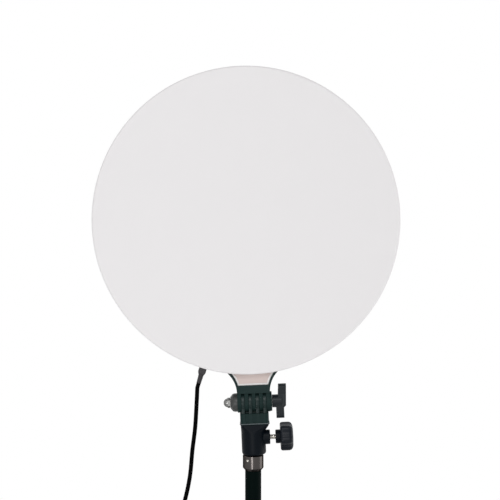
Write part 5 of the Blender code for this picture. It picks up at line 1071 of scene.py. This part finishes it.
def tilt_handle():
    """The T-handle: two offset arms with flutes along them on a round stem, and the bolt's bore."""
    inner, outer, tip = HANDLE_X, HANDLE_X + HANDLE_THICK, HANDLE_LONG / 2
    half, step = HANDLE_WIDE / 2, HANDLE_STEP
    outline = (
        (inner + HANDLE_FLARE, tip), (inner, HANDLE_NECK), (inner - step, -HANDLE_NECK),
        (inner - step, -tip), (outer - step, -tip), (outer - step, -HANDLE_NECK - step),
        (outer, -HANDLE_NECK), (outer + HANDLE_FLARE, tip),
    )
    ends = prism(rounded_box(half - WELD, tip - WELD, half - 1 * MM, 14), "X", 0, 2 * outer)
    bar = combined(prism(outline, "Y", -half, half), ends, "INTERSECT")
    start = HINGE_HALF + PAD_OUT + FIT
    bar = weld(bar, rod_x(HANDLE_STEM_R, start, inner + HANDLE_THICK / 2, 0.4 * MM))
    wide, deep = 0.6 * MM, 0.45 * MM
    flutes = []
    for low, high, offset, lean in (
        (-tip + 1.5 * MM, -8 * MM, -step, 0), (8 * MM, tip - 1.5 * MM, 0, HANDLE_FLARE)
    ):
        middle_z, half_long = (low + high) / 2, (high - low) / 2
        offset += lean * middle_z / tip
        for share in (0.24, 0.5, 0.76):
            flute = stadium(wide, half_long, (inner + offset + share * HANDLE_THICK, middle_z), 5)
            flutes += [prism(flute, "Y", y - deep, y + deep) for y in (-half, half)]
        for y in (-3 * MM, 0, 3 * MM):
            flute = stadium(wide, half_long, (y, middle_z), 5)
            flutes.append(prism(flute, "X", outer + offset - deep, outer + offset + 1 * MM))
    bar = carve(bar, *flutes, rod_x(BOLT_R + FIT, 0, start + 9.3 * MM, steps=24))
    piece("tee_handle", bar, "handle", "tilt_lever", "tilt_handle", at=HEAD, edge=0.5 * MM)


def socket_knob():
    hub = rod_x(KNOB_HUB_R, SOCKET_KNOB_HUB_X, SOCKET_KNOB_X + 4 * MM, 1 * MM)
    bore = rod_x(SCREW_R + FIT, 0, SOCKET_KNOB_X + FIT, steps=24)
    body = carve(weld(lobed(SOCKET_KNOB_R, SOCKET_KNOB_THICK, SOCKET_KNOB_X), hub), bore)
    piece(
        "socket_grip", body, "knob", "socket_clamp_screw", "socket_knob", at=SOCKET_KNOB, edge=0.3 * MM,
        others=(("socket", lambda middle, normal: middle.x < SOCKET_KNOB_X - 0.1 * MM),),
    )
    screw = thread(SPIGOT_R - 0.65 * MM + 2 * FIT, SOCKET_KNOB_X, 0.5 * MM, 28)
    piece("socket_thread", screw, "chrome", "socket_clamp_screw", "socket_screw", at=SOCKET_KNOB, angle=60)


# Stand


def tube(name, node, body, outer, top, bottom):
    edge, radius = 0.25 * MM, outer / 2
    inner = radius - TUBE_WALL
    profile = [(inner, bottom + edge), (inner + edge, bottom), (radius - edge, bottom)]
    profile += [(radius, bottom + edge), (radius, top - edge), (radius - edge, top)]
    profile += [(inner + edge, top), (inner, top - edge)]
    piece(name, spun(profile, 96, closed=True), "stand_black", body, node, at=STAND)


def clamp(name, node, body, carried_od, sliding_od, top):
    """The sleeve that grips one tube's top and clamps the next, with its screw boss."""
    carried, sliding = carried_od / 2 + FIT, sliding_od / 2 + FIT
    outer = carried_od / 2 + CLAMP_WALL
    low = top - CLAMP_GUIDE - CLAMP_GRIP
    step = top - CLAMP_GUIDE + FIT
    lip = outer + CLAMP_LIP
    groove = lip - 0.5 * MM
    profile = [(carried, low), (outer - 0.8 * MM, low), (outer, low + 0.8 * MM), (outer, low + 9 * MM)]
    profile += [(lip - 0.4 * MM, low + 11.4 * MM), (lip, low + 12.4 * MM)]
    for z in (low + 16 * MM, low + 19 * MM):
        profile += [(lip, z), (groove, z + 0.4 * MM), (groove, z + 1 * MM), (lip, z + 1.4 * MM)]
    profile += [(lip, top - 3.4 * MM), (lip - 0.4 * MM, top - 2.4 * MM)]
    profile += [(outer + 0.2 * MM, top - 0.2 * MM), (outer - 0.3 * MM, top)]
    profile += [(sliding, top), (sliding, step), (carried, step)]
    axis = shift(0, 0, top - CLAMP_GUIDE / 2) @ ALONG_X
    boss = rod(BOSS_R, sliding_od / 2 + 2 * MM, outer + BOSS_OUT, 1 * MM)
    bore = rod(SCREW_R + FIT, 0, outer + 2 * BOSS_OUT, steps=24)
    slit = [(-outer * 2, -0.7 * MM), (-sliding_od / 4, -0.7 * MM)]
    slit += [(x, -y) for x, y in reversed(slit)]
    slit = prism(slit, "Z", step + 1 * MM, top + 5 * MM)
    shape = weld(spun(profile, 72, closed=True), moved(boss, axis))
    piece(name, carve(shape, moved(bore, axis), slit), "knob", body, node, at=STAND, edge=0.25 * MM)


def clamp_knob(name, node, body, hub_x, reach, at):
    """A clamp's lobed knob with its hub and screw, along +X."""
    body_x = hub_x + 5 * MM
    hub_r = KNOB_HUB_R * CLAMP_KNOB_R / SOCKET_KNOB_R
    hub = rod_x(hub_r, hub_x, body_x + 3 * MM, 1 * MM, 40)
    screw = thread(reach, body_x + 1 * MM, 0.45 * MM, 20)
    shape = weld(lobed(CLAMP_KNOB_R, CLAMP_KNOB_THICK, body_x, 12), hub, screw)
    piece(name, shape, "knob", body, node, at=at, edge=0.2 * MM, angle=50)


def spigot():
    """The plated stand top: plug, taper, collar with its dimple, and the grooved stud."""
    top = SPIGOT_TOP - SPIGOT_TIP
    seat = top - SPIGOT_HIGH
    groove_low = seat + 0.45 * SPIGOT_HIGH - GROOVE_HIGH / 2
    groove_top = groove_low + GROOVE_HIGH
    collar, tube_r = SPIGOT_COLLAR_R, TOP_OD / 2
    plug_r = tube_r - TUBE_WALL - FIT
    profile = [(0, TOP_TOP - SPIGOT_PLUG), (plug_r, TOP_TOP - SPIGOT_PLUG), (plug_r, TOP_TOP + FIT)]
    profile += [(tube_r, TOP_TOP + FIT), (collar - 0.3 * MM, TOP_TOP + 3.2 * MM)]
    profile += [(collar, TOP_TOP + 3.7 * MM), (collar, seat - 0.6 * MM), (collar - 0.6 * MM, seat)]
    profile += [(SPIGOT_R, seat), (SPIGOT_R, groove_low), (GROOVE_R, groove_low + 1 * MM)]
    profile += [(GROOVE_R, groove_top - 1 * MM), (SPIGOT_R, groove_top), (SPIGOT_R, top - 1 * MM)]
    profile += [(SPIGOT_R - 1 * MM, top), (SPIGOT_TIP_R, top), (SPIGOT_TIP_R, SPIGOT_TOP - 0.6 * MM)]
    profile += [(SPIGOT_TIP_R - 0.6 * MM, SPIGOT_TOP), (0, SPIGOT_TOP)]
    turn = turned(DIMPLE_AZIMUTH, "Z") @ ALONG_X
    dimple = moved(rod(DIMPLE_R, collar - 1 * MM, collar + 1 * MM, steps=24), turn)
    shape = carve(spun(profile, 80), moved(dimple, shift(0, 0, seat - DIMPLE_DROP)))
    spot = turn @ Vector((0, 0, collar)) + Vector((0, 0, seat - DIMPLE_DROP))

    # The dimple's hollow gets the bright plating instead of the dark nickel: a painted highlight.
    def in_dimple(middle, normal):
        return middle.xy.length < collar - 0.2 * MM and (middle - spot).length < DIMPLE_R + 0.3 * MM

    piece(
        "stud", shape, "dark_nickel", "top_riser", "spigot", at=STAND, edge=0.12 * MM,
        others=(("chrome", in_dimple),),
    )


def leg(index, side, azimuth):
    """A tube leg, flattened at its pivot, and its ribbed rubber foot."""
    tube_end = LEG_LENGTH - FOOT_R / 2
    sections = []
    for x, thick, high in (
        (-EAR_R * 0.9, LEG_END_THICK * 0.6, LEG_END_HIGH * 0.5),
        (-EAR_R * 0.75, LEG_END_THICK * 0.88, LEG_END_HIGH * 0.68),
        (-EAR_R * 0.5, LEG_END_THICK, LEG_END_HIGH * 0.8),
        (0, LEG_END_THICK, LEG_END_HIGH * 0.82),
        (EAR_R * 1.2, LEG_END_THICK, LEG_END_HIGH * 0.92),
        (EAR_R * 2.1, LEG_END_THICK, LEG_END_HIGH),
        (EAR_R * 2.9, LEG_END_THICK + 2.2 * MM, LEG_END_HIGH - 0.3 * MM),
        (EAR_R * 3.7, LEG_OD - 2.8 * MM, LEG_END_HIGH - 1.1 * MM),
        (EAR_R * 4.4, LEG_OD - 0.6 * MM, LEG_OD + 0.3 * MM),
        (EAR_R * 5, LEG_OD, LEG_OD),
        (tube_end, LEG_OD, LEG_OD),
    ):
        roundness = min(1, max(0, (thick - LEG_END_THICK) / (LEG_OD - LEG_END_THICK)))
        power = 0.55 + 0.45 * roundness
        ring = []
        for turn in circle(40):
            a, b = (copysign(abs(part) ** power, part) for part in (cos(turn), sin(turn)))
            ring.append((x, a * thick / 2, b * high / 2))
        sections.append(ring)
    at = Matrix.Translation(JOINTS[f"{side}_leg_hinge"]["pos_m"]) @ turned(azimuth, "Z")
    at = at @ turned(pi / 2 - LEG_SPREAD, "Y")
    hole = moved(rod(LEG_HOLE_R, -LEG_OD, LEG_OD, steps=24), turned(pi / 2, "X"))
    body, shape = f"{side}_leg", carve(loft(sections), hole)
    piece(f"leg_tube_{index}", shape, "leg", body, f"leg_{index}", at=at, edge=0.2 * MM)
    sleeve = LEG_OD / 2 + FIT
    outer = sleeve + FOOT_WALL
    groove = outer - 0.5 * MM
    start = LEG_LENGTH - FOOT_SLEEVE
    profile = [(sleeve, start), (groove, start), (outer, start + 0.5 * MM)]
    for i in range(3):
        z = start + (2.4 + 2.6 * i) * MM
        profile += [(outer, z), (groove, z + 0.3 * MM), (groove, z + 1 * MM), (outer, z + 1.3 * MM)]
    profile += [(outer, LEG_LENGTH - FOOT_R)]
    profile += [(r, LEG_LENGTH + h) for r, h in arc((0, 0), FOOT_R, radians(-20), pi / 2, 12)]
    profile += [(0, tube_end + FIT), (sleeve, tube_end + FIT)]
    shape = moved(spun(profile, 48, closed=True), at @ ALONG_X)
    ground = prism([(-1, -1), (1, -1), (1, 1), (-1, 1)], "Z", -0.1, 0)
    piece(f"foot_cap_{index}", carve(shape, ground), "rubber", body, f"foot_{index}")


def carried_over():
    """Finishes for the CAD nodes that stay."""
    dressed = {
        "strut_hub": "knob", "leg_collar": "knob", "led_board": "board", "reflector_ring": "board",
        "driver_box": "board", "hinge_bolt": "chrome", "plug_pin_1": "chrome", "plug_pin_2": "chrome",
    }
    for index in (1, 2, 3):
        dressed[f"strut_{index}"] = "leg"
        dressed[f"leg_pin_{index}"] = "chrome"
        dressed[f"strut_pin_{index}"] = "chrome"
    for node, finish in dressed.items():
        held = frame["nodes"][node]
        held.data.materials.clear()
        held.data.materials.append(SURFACES[finish])
        soften(held, 0.25 * MM, 40)


def stand():
    tube("outer_column", "column_tube", "stand", COLUMN_OD, COLUMN_TOP, COLUMN_LOW)
    tube("middle_riser", "mid_tube", "mid_riser", MID_OD, MID_TOP, MID_LOW)
    tube("inner_riser", "top_tube", "top_riser", TOP_OD, TOP_TOP, TOP_LOW)
    clamps = (
        ("low", "lower_clamp", "stand", COLUMN_OD, MID_OD, LOWER_CLAMP_TOP),
        ("high", "upper_clamp", "mid_riser", MID_OD, TOP_OD, UPPER_CLAMP_TOP),
    )
    for level, node, body, carried, sliding, top in clamps:
        clamp(f"clamp_{level}", node, body, carried, sliding, top)
    for level, node, _, carried, sliding, top in clamps:
        hub_x = carried / 2 + CLAMP_WALL + BOSS_OUT + 4 * MM
        at = STAND @ shift(0, 0, top - CLAMP_GUIDE / 2)
        clamp_knob(f"grip_{level}", f"{node}_knob", f"{node}_screw", hub_x, sliding / 2 + FIT, at)
    at = Matrix.Translation(JOINTS["collar_screw_turn"]["pos_m"]) @ turned(radians(30), "Z")
    clamp_knob("grip_collar", "collar_knob", "collar_screw", COLLAR_KNOB_X, COLUMN_OD / 2 + FIT, at)
    spigot()
    for index, (side, azimuth) in enumerate((("back", 90), ("left", 210), ("right", 330)), 1):
        leg(index, side, radians(azimuth))


def head():
    diffuser()
    rear_shell()
    screws()
    controls()
    rocker()
    strain_relief()
    socket_body()
    yoke()
    cap_nut()
    tilt_handle()
    socket_knob()


bpy.context.scene.view_settings.view_transform = "Standard"
camera()
cords()
head()
stand()
carried_over()
floor()
lights()
